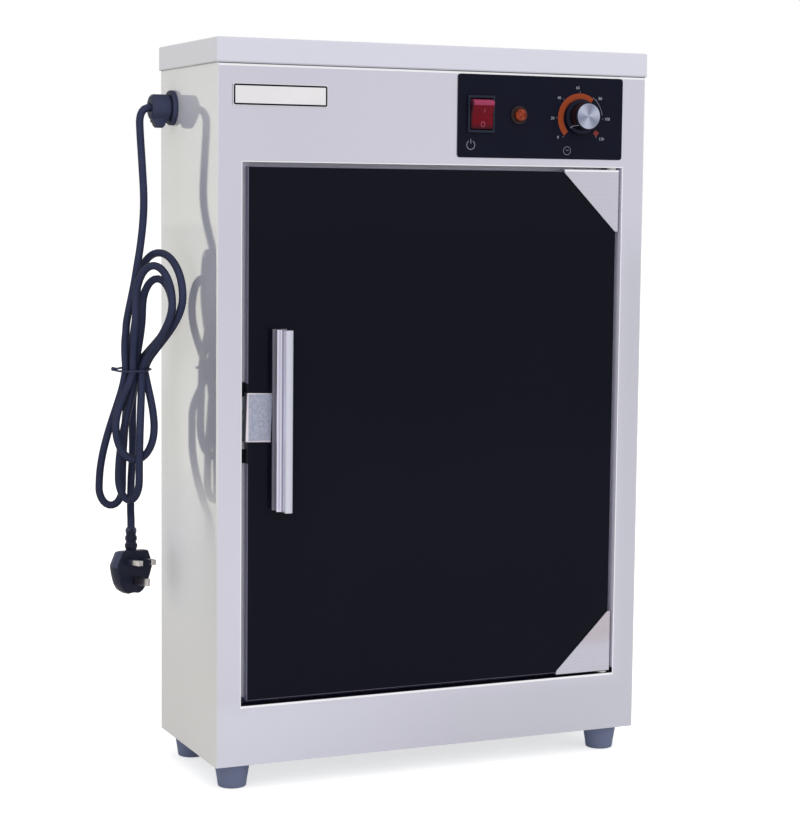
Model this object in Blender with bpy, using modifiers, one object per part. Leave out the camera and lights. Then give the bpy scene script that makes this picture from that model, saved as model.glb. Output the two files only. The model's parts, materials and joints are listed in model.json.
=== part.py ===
"""Knife sterilizer: a steel cabinet on rubber feet, with a hinged glass door, a control panel and a
mains lead that hangs tied in a hank.

Metres, +Z up. The origin is under the middle of the cabinet. In the functions below, x is measured
from the cabinet's left side, y back from its front face and z up from its floor."""

import math

import bmesh
import bpy
import numpy as np
from mathutils import Matrix, Vector

# Clearances and cutters
GAP = 0.0003
OVERRUN = 0.002

# Cabinet
SHEET = 0.0008
BODY_WIDTH = 0.400
SIDE_DEPTH = 0.1514
BODY_HEIGHT = 0.606
BEND_RADIUS = 0.0015
BACK_FLANGE = 0.012
LID_SKIRT = 0.0206
PAN_WALL = 0.012
BACK_PANEL_MARGIN = 0.0015
VENT_WIDTH = 0.003
VENT_HEIGHT = 0.024
VENT_PITCH = 0.008
VENT_COUNT = 12
VENT_DROP = 0.055
VENT_GROUP_OFFSET = 0.095

# Door opening
OPENING_SIDE = 0.022
OPENING_BOTTOM = 0.051
HEADER = 0.1008
RETURN_DEPTH = 0.0136
LIP = 0.010

# Chamber liner
LINER_SIDE = 0.012
LINER_BELOW = 0.0068
LINER_TOP_DROP = 0.0014
BACK_SPACE = 0.0134
WINDOW_MARGIN = 0.009

# Knife rack
RACK_CLEARANCE = 0.0012
RACK_RISE = 0.0877
RACK_FRONT = 0.030
RACK_BACK_GAP = 0.0372
RACK_FLANGE = 0.020
SLOT_WIDTH = 0.005
SLOT_MARGIN = 0.011
SLOT_END = 0.034
SLOT_COUNT = 9
LEDGE_SHEET = 0.0008
LEDGE_REACH = 0.014
LEDGE_HEIGHT = 0.015
LEDGE_OVERLENGTH = 0.002

# Ultraviolet lamp
TUBE_RADIUS = 0.008
TUBE_END_GAP = 0.0432
TUBE_RISE = 0.0069
TUBE_FROM_BACK = 0.0192
HOLDER_WIDTH = 0.018
HOLDER_HEIGHT = 0.030
HOLDER_GRIP = 0.004
HOLDER_NOSE = 0.012

# Heater
ELEMENT_RADIUS = 0.004
ELEMENT_RISE = 0.017
ELEMENT_MARGIN = 0.015
ELEMENT_LEFT = 0.060
ELEMENT_TAIL = 0.007
GUARD_SIDE = 0.011
GUARD_FRONT = 0.035
GUARD_BACK_GAP = 0.0222
GUARD_HEIGHT = 0.0355
GUARD_SLOT_WIDTH = 0.004
GUARD_SLOT_MARGIN = 0.020
GUARD_SLOT_END = 0.0502
GUARD_SLOT_COUNT = 8
THERMOSTAT_RADIUS = 0.009
THERMOSTAT_HEIGHT = 0.0099
THERMOSTAT_X = 0.150

# Control bay
BALLAST_WIDTH = 0.150
BALLAST_DEPTH = 0.040
BALLAST_HEIGHT = 0.028
BALLAST_X = 0.120
BALLAST_Y = 0.060
BALLAST_TAB = 0.012
BALLAST_TAB_HEIGHT = 0.002
TERMINAL_WIDTH = 0.060
TERMINAL_DEPTH = 0.020
TERMINAL_HEIGHT = 0.015
TERMINAL_X = 0.025
TERMINAL_WELL = 0.005
TERMINAL_WELL_DEPTH = 0.009
TERMINAL_COUNT = 5

# Door glass
GLASS_THICKNESS = 0.006
GLASS_FRONT = 0.0032
GLASS_LEFT_GAP = 0.0062
GLASS_RIGHT_GAP = 0.0036
GLASS_BOTTOM_GAP = 0.0035
GLASS_TOP_GAP = 0.0034

# Hinges
SHOE_SHEET = 0.0012
SHOE_LENGTH = 0.0543
SHOE_TOE = 0.003
PIVOT_FROM_EDGE = 0.0042
PIN_RADIUS = 0.0025
PIN_REACH = 0.0065
BUSH_FLANGE_RADIUS = 0.0045
BUSH_STEM_RADIUS = 0.0037
BUSH_STEM = 0.003

# Strike clip and magnetic catch
CLIP_SHEET = 0.001
CLIP_REACH = 0.0223
CLIP_HEIGHT = 0.041
CLIP_RISE = 0.0158
CATCH_WIDTH = 0.0187
CATCH_FRONT = 0.0115
CATCH_DEPTH = 0.0215
CATCH_HEIGHT = 0.0668
CATCH_RISE = 0.0109
POLE_MARGIN = 0.0022
POLE_PROUD = 0.0007
POLE_DEPTH = 0.0132
POLE_HEIGHT = 0.044
POLE_GROOVE = 0.004
POLE_GROOVE_DEPTH = 0.001

# Handle
HANDLE_INSET = 0.0214
HANDLE_WIDTH = 0.0124
HANDLE_REACH = 0.0232
HANDLE_HEIGHT = 0.1518
HANDLE_RISE = 0.0135
HANDLE_OUTLINE_SHARES = (
    (0.0, 0.0), (0.0, 0.082), (0.218, 0.108), (0.218, 0.362), (0.016, 0.427), (0.0, 0.513),
    (0.056, 0.547), (0.242, 0.547), (0.323, 0.6), (0.306, 0.944), (0.371, 1.0), (0.782, 1.0),
    (0.831, 0.97), (0.831, 0.884), (0.516, 0.884), (0.508, 0.47), (0.435, 0.099), (1.0, 0.091),
    (1.0, 0.0))
HANDLE_SCREW_RADIUS = 0.002
HANDLE_SCREW_HEAD_RADIUS = 0.004
HANDLE_SCREW_HEAD = 0.0025
HANDLE_SCREW_INSET = 0.003
HANDLE_SCREW_FROM_END = 0.030
HANDLE_SCREW_GRIP = 0.0013

# Control panel
PANEL_RIGHT = 0.0236
PANEL_WIDTH = 0.1604
PANEL_RISE = 0.0068
PANEL_HEIGHT = 0.071
PANEL_CORNER = 0.0025
CONTROL_RISE = 0.0371
SWITCH_X = 0.0215
LAMP_X = 0.0581
TIMER_X = 0.1175
HOLE_CLEARANCE = 0.0003

# Rocker switch
BEZEL_WIDTH = 0.0254
BEZEL_HEIGHT = 0.0316
BEZEL_THICKNESS = 0.002
BEZEL_OVERLAP = 0.0008
HOUSING_DEPTH = 0.020
WELL_WIDTH = 0.0216
WELL_HEIGHT = 0.027
WELL_DEPTH = 0.0095
ROCKER_RADIUS = 0.0132
ROCKER_CREST = 0.0046
ROCKER_BACK = 0.003
ROCKER_PIVOT_DEPTH = 0.0007
ROCKER_ANGLE = math.radians(10)
SIDE_CLEARANCE = 0.0003

# Indicator lamp
LAMP_FLANGE_RADIUS = 0.008
LAMP_FLANGE = 0.0015
LAMP_FACE_RADIUS = 0.0074
LAMP_EDGE = 0.0006
LAMP_BODY_RADIUS = 0.0059
LAMP_BORE_RADIUS = 0.0035
LAMP_BODY_DEPTH = 0.022
LENS_RADIUS = 0.0055
LENS_HEIGHT = 0.0057
LENS_CROWN = 0.0012
LENS_FLAT_RADIUS = 0.003

# Timer
TIMER_SIZE = 0.042
TIMER_DEPTH = 0.036
TIMER_BUSH_RADIUS = 0.0047
TIMER_BUSH_PROUD = 0.0018
SHAFT_RADIUS = 0.003
SHAFT_FRONT = 0.014
SHAFT_BACK = 0.020
SKIRT_RADIUS = 0.0153
SKIRT_THICKNESS = 0.0022
KNOB_BACK = 0.0034
KNOB_FRONT = 0.0169
KNOB_ROOT_RADIUS = 0.0126
KNOB_RADIUS = 0.0118
KNOB_EDGE = 0.0006
CAP_RADIUS = 0.0116
CAP_THICKNESS = 0.0009

# Name plate
PLATE_X = 0.0134
PLATE_DROP = 0.055
PLATE_WIDTH = 0.0831
PLATE_HEIGHT = 0.018
PLATE_THICKNESS = 0.0008

# Feet
FOOT_HEIGHT = 0.022
FOOT_TOP_RADIUS = 0.015
FOOT_BOTTOM_RADIUS = 0.012
FOOT_INSET = 0.022
FOOT_EDGE = 0.001
FOOT_BORE_DEPTH = 0.015
FOOT_SCREW_RADIUS = 0.002
FOOT_SCREW_HEAD_RADIUS = 0.0045
FOOT_SCREW_HEAD = 0.0025
FOOT_SCREW_END = 0.0012

# Cable gland
GLAND_FROM_BACK = 0.0359
GLAND_DROP = 0.054
GLAND_FLANGE_RADIUS = 0.015
GLAND_FLANGE = 0.004
GLAND_THREAD_RADIUS = 0.010
GLAND_INSIDE = 0.008
GLAND_NECK_RADIUS = 0.0093
GLAND_NECK_END = 0.014
GLAND_BORE_RADIUS = 0.0037
NUT_RADIUS = 0.0119
NUT_END = 0.021
NUT_RIB = 0.0004
NUT_EDGE = 0.001
CLAMP_DROP = 0.0174
CLAMP_WIDTH = 0.013
CLAMP_START = 0.007
CLAMP_END = 0.019
LOCK_NUT_RADIUS = 0.014
LOCK_NUT_THICKNESS = 0.004

# Cord route from the gland's middle, points chosen by hand
CORD_DIAMETER = 0.0066
CORD_STEP = 0.016
LEAD_ROUTE = (
    (-0.0143, 0.0, 0.0), (-0.0210, 0.0, 0.0), (-0.0268, 0.0, -0.0024), (-0.0298, -0.0002, -0.0090),
    (-0.0298, -0.0002, -0.0200), (-0.0281, -0.0004, -0.0480), (-0.0269, -0.0012, -0.0753),
    (-0.0284, -0.0042, -0.0960), (-0.0323, -0.0088, -0.1180), (-0.0361, -0.0113, -0.1360),
    (-0.0383, -0.00935, -0.1520))

# Hank: its tied waist from the gland's middle, and its loops' across and along directions
WAIST = (-0.036, 0.0, -0.225)
FRAME_ANGLE = math.radians(23.93)
LOOP_TURN = -0.8645
FAN_POWER = 0.8
HANK_ENTRY = ((-0.0047, -0.0050, 0.0440), (-0.0059, -0.0041, 0.0330), (-0.0069, -0.0033, 0.0230),
              (-0.0069, -0.0030, 0.0120))
HANK_EXIT = ((0.0014, 0.0086, -0.0080), (-0.0008, 0.0140, -0.0160), (-0.0032, 0.0225, -0.0255),
             (-0.0044, 0.0285, -0.0340), (-0.0048, 0.0313, -0.0420), (-0.0049, 0.0318, -0.0540))
TAIL_ROUTE = ((-0.0048, 0.0312, -0.0760), (-0.0055, 0.0262, -0.1000), (-0.0047, 0.0160, -0.1220))
PLUG_FOOT = (-0.0034, 0.0080, -0.1970)
# Where each strand passes the waist: across and along
STRANDS = ((-0.0064, -0.0030), (-0.0046, 0.0042), (0.0096, 0.0032), (0.0004, -0.0078),
           (0.0079, -0.0051), (0.0018, -0.0005), (0.0020, 0.0080))
# Each loop: up or down, its middle across, height where its arc springs, arc's half width and rise,
# side that it goes out on, and how far its two runs stand off along the view
LOOPS = (
    (-1, -0.0227, 0.106, 0.0102, 0.0155, -1, -0.0082, 0.0089),
    (1, 0.025, 0.066, 0.0227, 0.0354, -1, 0.0104, -0.0085),
    (-1, 0.0018, 0.050, 0.0166, 0.028, 1, 0.0113, -0.0175),
    (1, 0.022, 0.060, 0.017, 0.031, -1, -0.0173, -0.0175),
    (-1, -0.0038, 0.095, 0.0102, 0.0185, 1, -0.0073, -0.0056),
    (1, 0.022, 0.053, 0.013, 0.026, -1, -0.0019, 0.0186))
RUN_POINTS = 7
ARC_POINTS = 10

# Wire tie
TIE_RADIUS = 0.0009
TIE_STEPS = 20
TIE_LAY = 0.0027
TIE_END_SIDE = 0.0015
TIE_END = 0.0045
TIE_END_LIFT = 0.0012

# Plug
RELIEF_LENGTH = 0.020
RELIEF_CORE_RADIUS = 0.0043
RELIEF_RING_RADIUS = 0.0055
RELIEF_RINGS = 3
RELIEF_RING_SHARE = 0.55
RELIEF_RING_EDGE = 0.00054
PLUG_WIDTH = 0.044
PLUG_HEIGHT = 0.038
PLUG_DEPTH = 0.0125
PLUG_EDGE = 0.0015
PLUG_OUTLINE_SHARES = (
    (0.35, 1.0), (0.5, 0.66), (0.44, 0.42), (0.36, 0.2), (0.26, 0.06), (0.15, 0.0), (0.05, 0.02),
    (-0.05, 0.02), (-0.15, 0.0), (-0.26, 0.06), (-0.36, 0.2), (-0.44, 0.42), (-0.5, 0.66),
    (-0.35, 1.0))
PIN_HEADING = math.radians(-61)
PLUG_ROLL = math.radians(-4)
SHORT_PIN = (0.0058, 0.0045, 0.0140)
LONG_PIN = (0.0036, 0.0068, 0.0166)
PIN_PITCH = 0.0166
SHORT_PIN_DROP = 0.0095
LONG_PIN_RISE = 0.0118

# Worked out from the sizes above
SHELL_TOP = BODY_HEIGHT - SHEET - GAP
BACK_OUTER = SIDE_DEPTH + GAP + SHEET
LID_BACK = BACK_OUTER + GAP + SHEET
OPENING_X = (OPENING_SIDE, BODY_WIDTH - OPENING_SIDE)
OPENING_Z = (OPENING_BOTTOM, BODY_HEIGHT - HEADER)
MIDDLE_Z = sum(OPENING_Z) / 2
LIP_BACK = RETURN_DEPTH + SHEET
LINER_X = (LINER_SIDE, BODY_WIDTH - LINER_SIDE)
LINER_Y = (LIP_BACK + GAP, SIDE_DEPTH - BACK_SPACE)
LINER_Z = (OPENING_Z[0] - LINER_BELOW, OPENING_Z[1] - LINER_TOP_DROP)
CHAMBER_X = (LINER_X[0] + SHEET, LINER_X[1] - SHEET)
CHAMBER_BACK = LINER_Y[1] - SHEET
CHAMBER_FLOOR = LINER_Z[0] + SHEET
GUARD_Y = (GUARD_FRONT, CHAMBER_BACK - GUARD_BACK_GAP)
ELEMENT_Y = (GUARD_Y[0] + ELEMENT_MARGIN, GUARD_Y[1] - ELEMENT_MARGIN)
DECK = LINER_Z[1] + GAP
GLASS_X = (OPENING_X[0] + GLASS_LEFT_GAP, OPENING_X[1] - GLASS_RIGHT_GAP)
GLASS_Y = (GLASS_FRONT, GLASS_FRONT + GLASS_THICKNESS)
GLASS_Z = (OPENING_Z[0] + GLASS_BOTTOM_GAP, OPENING_Z[1] - GLASS_TOP_GAP)
PIVOT_X = GLASS_X[1] - PIVOT_FROM_EDGE
PIVOT_Y = GLASS_FRONT + GLASS_THICKNESS / 2
HANDLE_BACK = GLASS_FRONT - GAP
FRONT = -(LID_BACK - (HANDLE_REACH - HANDLE_BACK)) / 2
PANEL_X = (BODY_WIDTH - PANEL_RIGHT - PANEL_WIDTH, BODY_WIDTH - PANEL_RIGHT)
PANEL_Z = (OPENING_Z[1] + PANEL_RISE, OPENING_Z[1] + PANEL_RISE + PANEL_HEIGHT)
PANEL_FACE = -(GAP + SHEET)
CONTROL_Z = PANEL_Z[0] + CONTROL_RISE
CLIP_CENTRE = MIDDLE_Z + CLIP_RISE
CATCH_CENTRE = MIDDLE_Z + CATCH_RISE
HANDLE_BOTTOM = MIDDLE_Z + HANDLE_RISE - HANDLE_HEIGHT / 2
GLAND_Y = SIDE_DEPTH - GLAND_FROM_BACK
GLAND_Z = BODY_HEIGHT - GLAND_DROP
HANK_FRAME = Matrix.Rotation(-FRAME_ANGLE, 3, 'Z')

for old in list(bpy.data.objects):
    bpy.data.objects.remove(old, do_unlink=True)

PARTS = bpy.data.collections.new("knife_sterilizer")
CUTTERS = bpy.data.collections.new("cutters")
bpy.context.scene.collection.children.link(PARTS)
bpy.context.scene.collection.children.link(CUTTERS)


def material(name, colour, roughness, metallic=0.0):
    """A Principled material."""
    made = bpy.data.materials.new(name)
    made.use_nodes = True
    shader = made.node_tree.nodes["Principled BSDF"]
    shader.inputs["Base Color"].default_value = (*colour, 1.0)
    shader.inputs["Roughness"].default_value = roughness
    shader.inputs["Metallic"].default_value = metallic
    return made


STEEL = material("stainless_steel", (0.60, 0.59, 0.60), 0.32, 1.0)
CHAMBER_STEEL = material("chamber_steel", (0.55, 0.55, 0.57), 0.25, 1.0)
ZINC = material("zinc_plate", (0.50, 0.51, 0.53), 0.45, 1.0)
ALUMINIUM = material("anodised_aluminium", (0.70, 0.71, 0.73), 0.3, 1.0)
GLASS = material("dark_glass", (0.010, 0.012, 0.018), 0.05)
TUBE_GLASS = material("lamp_glass", (0.80, 0.82, 0.85), 0.1)
PANEL_BLACK = material("panel_black", (0.012, 0.013, 0.022), 0.45)
BLACK_PLASTIC = material("black_plastic", (0.015, 0.016, 0.024), 0.4)
RED_PLASTIC = material("red_plastic", (0.25, 0.004, 0.015), 0.3)
AMBER_PLASTIC = material("amber_plastic", (0.55, 0.12, 0.01), 0.2)
NYLON = material("nylon", (0.62, 0.55, 0.42), 0.5)
RUBBER = material("rubber", (0.11, 0.15, 0.22), 0.75)
CORD_RUBBER = material("cord_rubber", (0.02, 0.023, 0.045), 0.5)
BRASS = material("brass", (0.60, 0.45, 0.20), 0.3, 1.0)


def at(x, y, z):
    """World position of a point given from the cabinet's left side, front face and floor."""
    return Vector((x - BODY_WIDTH / 2, FRONT + y, FOOT_HEIGHT + z))


def add(name, data, look=None):
    """Put a new object in the part's collection, or with no look in the cutters'."""
    made = bpy.data.objects.new(name, data)
    if look is None:
        CUTTERS.objects.link(made)
        made.hide_render = True
        made.display_type = 'WIRE'
    else:
        PARTS.objects.link(made)
        data.materials.append(look)
    return made


def span(middle, size):
    """Start and end of a size laid about its middle."""
    return (middle - size / 2, middle + size / 2)


def grown(pair, amount):
    """A span made longer at both ends."""
    return (pair[0] - amount, pair[1] + amount)


def spaced(pair, count):
    """Evenly spaced places from a span's start to its end."""
    return [pair[0] + (pair[1] - pair[0]) * place / (count - 1) for place in range(count)]


def blocks(name, spans, look=None):
    """Boxes given by their spans in x, y and z."""
    low = at(*(pair[0] for pair in spans[0]))
    high = at(*(pair[1] for pair in spans[0]))
    centre = (low + high) / 2
    built = bmesh.new()
    for box in spans:
        low = at(*(pair[0] for pair in box))
        high = at(*(pair[1] for pair in box))
        size = Matrix.Diagonal((*(high - low), 1))
        bmesh.ops.create_cube(built, size=1, matrix=Matrix.Translation((low + high) / 2 - centre) @ size)
    mesh = bpy.data.meshes.new(name)
    built.to_mesh(mesh)
    built.free()
    made = add(name, mesh, look)
    made.location = centre
    return made


def rod(name, start, end, radius, look=None, sides=32):
    """A cylinder between two points given as for at."""
    start, end = at(*start), at(*end)
    built = bmesh.new()
    bmesh.ops.create_cone(built, cap_ends=True, segments=sides, radius1=radius, radius2=radius,
                          depth=(end - start).length)
    mesh = bpy.data.meshes.new(name)
    built.to_mesh(mesh)
    built.free()
    mesh.shade_smooth()
    mesh.set_sharp_from_angle(angle=math.radians(35))
    made = add(name, mesh, look)
    made.location = (start + end) / 2
    made.rotation_euler = (end - start).to_track_quat('Z', 'Y').to_euler()
    return made


def turned(name, profile, base, axis, look=None, sides=32):
    """A solid turned about an axis: radius and height pairs, down the outer side first."""
    built = bmesh.new()
    points = [built.verts.new((radius, 0, height)) for radius, height in profile]
    for start, end in zip(points, points[1:] + points[:1]):
        if start.co.x > 0 or end.co.x > 0:
            built.edges.new((start, end))
    mesh = bpy.data.meshes.new(name)
    built.to_mesh(mesh)
    built.free()
    made = add(name, mesh, look)
    made.location = at(*base)
    made.rotation_euler = Vector(axis).to_track_quat('Z', 'Y').to_euler()
    screw = made.modifiers.new("turn", 'SCREW')
    screw.steps = screw.render_steps = sides
    screw.use_merge_vertices = True
    screw.merge_threshold = 0.00001
    screw.use_smooth_shade = False
    return made


def outline(name, points, thickness, turn, place, look=None):
    """A flat outline with a thickness, turned and placed, made a mesh."""
    curve = bpy.data.curves.new(name + "_curve", 'CURVE')
    curve.dimensions = '2D'
    curve.fill_mode = 'BOTH'
    curve.extrude = thickness / 2
    spline = curve.splines.new('POLY')
    spline.points.add(len(points) - 1)
    for point, (across, up) in zip(spline.points, points):
        point.co = (across, up, 0, 1)
    spline.use_cyclic_u = True
    guide = add(name + "_curve", curve)
    guide.matrix_world = Matrix.Translation(place) @ turn.to_4x4()
    return as_mesh(guide, name, look)


def as_mesh(guide, name, look=None):
    """The mesh of a curve, with its caps welded, in place of the curve."""
    bpy.context.view_layer.update()
    mesh = bpy.data.meshes.new_from_object(guide.evaluated_get(bpy.context.evaluated_depsgraph_get()))
    built = bmesh.new()
    built.from_mesh(mesh)
    bmesh.ops.remove_doubles(built, verts=built.verts, dist=0.000001)
    built.to_mesh(mesh)
    built.free()
    mesh.materials.clear()
    made = add(name, mesh, look)
    made.matrix_world = guide.matrix_world
    bpy.data.objects.remove(guide, do_unlink=True)
    return made


def tube(name, points, radius, resolution, look):
    """A round tube along a polyline of world points."""
    curve = bpy.data.curves.new(name, 'CURVE')
    curve.dimensions = '3D'
    curve.bevel_depth = radius
    curve.bevel_resolution = resolution
    curve.use_fill_caps = True
    spline = curve.splines.new('POLY')
    spline.points.add(len(points) - 1)
    for point, place in zip(spline.points, points):
        point.co = (*place, 1)
    return add(name, curve, look)


def cut(target, tool, operation='DIFFERENCE'):
    """Cut a tool from a target, or join it with another operation."""
    step = target.modifiers.new(tool.name, 'BOOLEAN')
    step.operation = operation
    step.object = tool


def bend(target, radius):
    """Round a sheet's bends and give it its thickness, inwards."""
    rounding = target.modifiers.new("bends", 'BEVEL')
    rounding.width = radius
    rounding.segments = 2
    thicken(target)


def thicken(target):
    """Give an open surface the sheet's thickness, inwards."""
    sheet = target.modifiers.new("sheet", 'SOLIDIFY')
    sheet.thickness = SHEET
    sheet.offset = -1
    sheet.use_even_offset = True


def parent(children, holder):
    """Hang objects on a holder without moving them."""
    bpy.context.view_layer.update()
    for child in children:
        child.parent = holder
        child.matrix_parent_inverse = holder.matrix_world.inverted()


# Turns that stand a flat outline in a plane of the cabinet
FLAT = Matrix.Identity(3)
FACING_FRONT = Matrix.Rotation(math.radians(90), 3, 'X')
FACING_SIDE = Matrix(((0, 0, 1), (1, 0, 0), (0, 1, 0)))


def outer_shell():
    """Front and sides in one sheet, with the opening's returns and stop lip."""
    through = (-OVERRUN, SHEET + OVERRUN)
    shell = blocks("outer_shell", [((0, BODY_WIDTH), (0, SIDE_DEPTH), (0, SHELL_TOP))], STEEL)
    open_ends(shell)
    bend(shell, BEND_RADIUS)
    cut(shell, blocks("shell_back", [((BACK_FLANGE, BODY_WIDTH - BACK_FLANGE),
                                      (SIDE_DEPTH - SHEET - OVERRUN, SIDE_DEPTH + OVERRUN),
                                      (-OVERRUN, SHELL_TOP + OVERRUN))]))
    cut(shell, blocks("shell_opening", [(OPENING_X, through, OPENING_Z)]))
    returns = blocks("opening_returns", [(grown(OPENING_X, SHEET), (SHEET / 2, LIP_BACK),
                                          grown(OPENING_Z, SHEET))])
    remove_faces(returns, (0, -1, 0))
    thicken(returns)
    cut(returns, blocks("lip_window", [(grown(OPENING_X, -LIP), grown((RETURN_DEPTH, LIP_BACK), OVERRUN),
                                        grown(OPENING_Z, -LIP))]))
    cut(shell, returns, 'UNION')
    cut(shell, blocks("lip_notch", [catch_notch(OPENING_X[0] + GAP / 2)]))
    for hole in control_holes("shell", through):
        cut(shell, hole)
    for name, height in (("top", OPENING_Z[1]), ("bottom", OPENING_Z[0])):
        cut(shell, rod("bush_hole_" + name, (PIVOT_X, PIVOT_Y, height - SHEET - OVERRUN),
                       (PIVOT_X, PIVOT_Y, height + SHEET + OVERRUN), BUSH_STEM_RADIUS + HOLE_CLEARANCE))
    cut(shell, rod("gland_hole", (-OVERRUN, GLAND_Y, GLAND_Z), (SHEET + OVERRUN, GLAND_Y, GLAND_Z),
                   GLAND_THREAD_RADIUS + HOLE_CLEARANCE))
    return shell


def remove_faces(target, side):
    """Open a box on the side that a direction names."""
    built = bmesh.new()
    built.from_mesh(target.data)
    away = [face for face in built.faces if face.normal.dot(Vector(side)) > 0.9]
    bmesh.ops.delete(built, geom=away, context='FACES')
    built.to_mesh(target.data)
    built.free()


def open_ends(target):
    """Open a box above and below."""
    remove_faces(target, (0, 0, 1))
    remove_faces(target, (0, 0, -1))


def catch_notch(left):
    """The space that the catch takes in the lip and the liner's flange, from a left side."""
    return ((left, OPENING_X[0] + CATCH_WIDTH + HOLE_CLEARANCE * 3), grown((RETURN_DEPTH, LIP_BACK), GAP),
            grown(span(CATCH_CENTRE, CATCH_HEIGHT), HOLE_CLEARANCE * 2))


def control_holes(name, through):
    """Cutters for the switch, the lamp and the timer, through a span of y."""
    switch_x, lamp_x, timer_x = (PANEL_X[0] + place for place in (SWITCH_X, LAMP_X, TIMER_X))
    width, height = BEZEL_WIDTH - 2 * BEZEL_OVERLAP, BEZEL_HEIGHT - 2 * BEZEL_OVERLAP
    clear = HOLE_CLEARANCE
    holes = [blocks(name + "_switch_hole", [(grown(span(switch_x, width), clear), through,
                                             grown(span(CONTROL_Z, height), clear))])]
    for piece, x, radius in (("lamp", lamp_x, LAMP_BODY_RADIUS), ("timer", timer_x, TIMER_BUSH_RADIUS)):
        holes.append(rod(name + "_" + piece + "_hole", (x, through[0], CONTROL_Z),
                         (x, through[1], CONTROL_Z), radius + clear))
    return holes


def cabinet():
    """The lid, the floor tray and the back."""
    lid = blocks("top_cover", [(grown((0, BODY_WIDTH), GAP + SHEET), (PANEL_FACE, LID_BACK),
                                (BODY_HEIGHT - LID_SKIRT, BODY_HEIGHT))], STEEL)
    remove_faces(lid, (0, 0, -1))
    bend(lid, BEND_RADIUS)
    inside = SHEET + GAP
    pan = blocks("base_pan", [(grown((0, BODY_WIDTH), -inside), grown((0, SIDE_DEPTH), -inside),
                               (0, PAN_WALL))], ZINC)
    remove_faces(pan, (0, 0, 1))
    thicken(pan)
    back = blocks("back_panel", [(grown((0, BODY_WIDTH), -BACK_PANEL_MARGIN),
                                  (SIDE_DEPTH + GAP, BACK_OUTER), grown((0, SHELL_TOP), -GAP))], ZINC)
    vent_z = span(BODY_HEIGHT - VENT_DROP, VENT_HEIGHT)
    vents = []
    for middle in (BODY_WIDTH / 2 - VENT_GROUP_OFFSET, BODY_WIDTH / 2 + VENT_GROUP_OFFSET):
        for place in range(VENT_COUNT):
            x = middle + (place - (VENT_COUNT - 1) / 2) * VENT_PITCH
            vents.append((span(x, VENT_WIDTH), grown((SIDE_DEPTH, BACK_OUTER), OVERRUN), vent_z))
    cut(back, blocks("vents", vents))
    for x, side in ((FOOT_INSET, "left"), (BODY_WIDTH - FOOT_INSET, "right")):
        for y, end in ((FOOT_INSET, "front"), (BACK_OUTER - FOOT_INSET, "back")):
            foot(end + "_" + side, x, y)
            cut(pan, rod("pan_hole_" + end + side, (x, y, -OVERRUN), (x, y, SHEET + OVERRUN),
                         FOOT_SCREW_RADIUS + HOLE_CLEARANCE, sides=16))


def foot(where, x, y):
    """A rubber foot and the screw that holds it, from inside the tray."""
    bore = FOOT_SCREW_RADIUS + HOLE_CLEARANCE
    turned("foot_" + where, ((bore, -GAP), (FOOT_TOP_RADIUS - FOOT_EDGE, -GAP),
                             (FOOT_TOP_RADIUS, -GAP - FOOT_EDGE),
                             (FOOT_BOTTOM_RADIUS, FOOT_EDGE - FOOT_HEIGHT),
                             (FOOT_BOTTOM_RADIUS - FOOT_EDGE, -FOOT_HEIGHT), (0, -FOOT_HEIGHT),
                             (0, -FOOT_BORE_DEPTH), (bore, -FOOT_BORE_DEPTH)),
           (x, y, 0), (0, 0, 1), RUBBER, 24)
    top = SHEET + GAP
    crown = top + FOOT_SCREW_HEAD
    turned("foot_screw_" + where, ((0, crown), (FOOT_SCREW_HEAD_RADIUS, crown),
                                   (FOOT_SCREW_HEAD_RADIUS, top), (FOOT_SCREW_RADIUS, top),
                                   (FOOT_SCREW_RADIUS, FOOT_SCREW_END - FOOT_BORE_DEPTH),
                                   (0, FOOT_SCREW_END - FOOT_BORE_DEPTH)),
           (x, y, 0), (0, 0, 1), ZINC, 12)


def liner():
    """The chamber's box, with its window, the catch's notch and the element's holes."""
    box = blocks("inner_liner", [(LINER_X, LINER_Y, LINER_Z)], CHAMBER_STEEL)
    thicken(box)
    cut(box, blocks("liner_window", [(grown(OPENING_X, -WINDOW_MARGIN), grown((LINER_Y[0],) * 2, OVERRUN),
                                      grown(OPENING_Z, -WINDOW_MARGIN))]))
    notch = catch_notch(OPENING_X[0] - HOLE_CLEARANCE)
    cut(box, blocks("liner_notch", [(notch[0], grown((LINER_Y[0],) * 2, OVERRUN), notch[2])]))
    for place, y in enumerate(ELEMENT_Y):
        z = CHAMBER_FLOOR + ELEMENT_RISE
        cut(box, rod("element_hole_%d" % place, (LINER_X[1] - SHEET - OVERRUN, y, z),
                     (LINER_X[1] + OVERRUN, y, z), ELEMENT_RADIUS + HOLE_CLEARANCE, sides=16))
    return box


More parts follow.
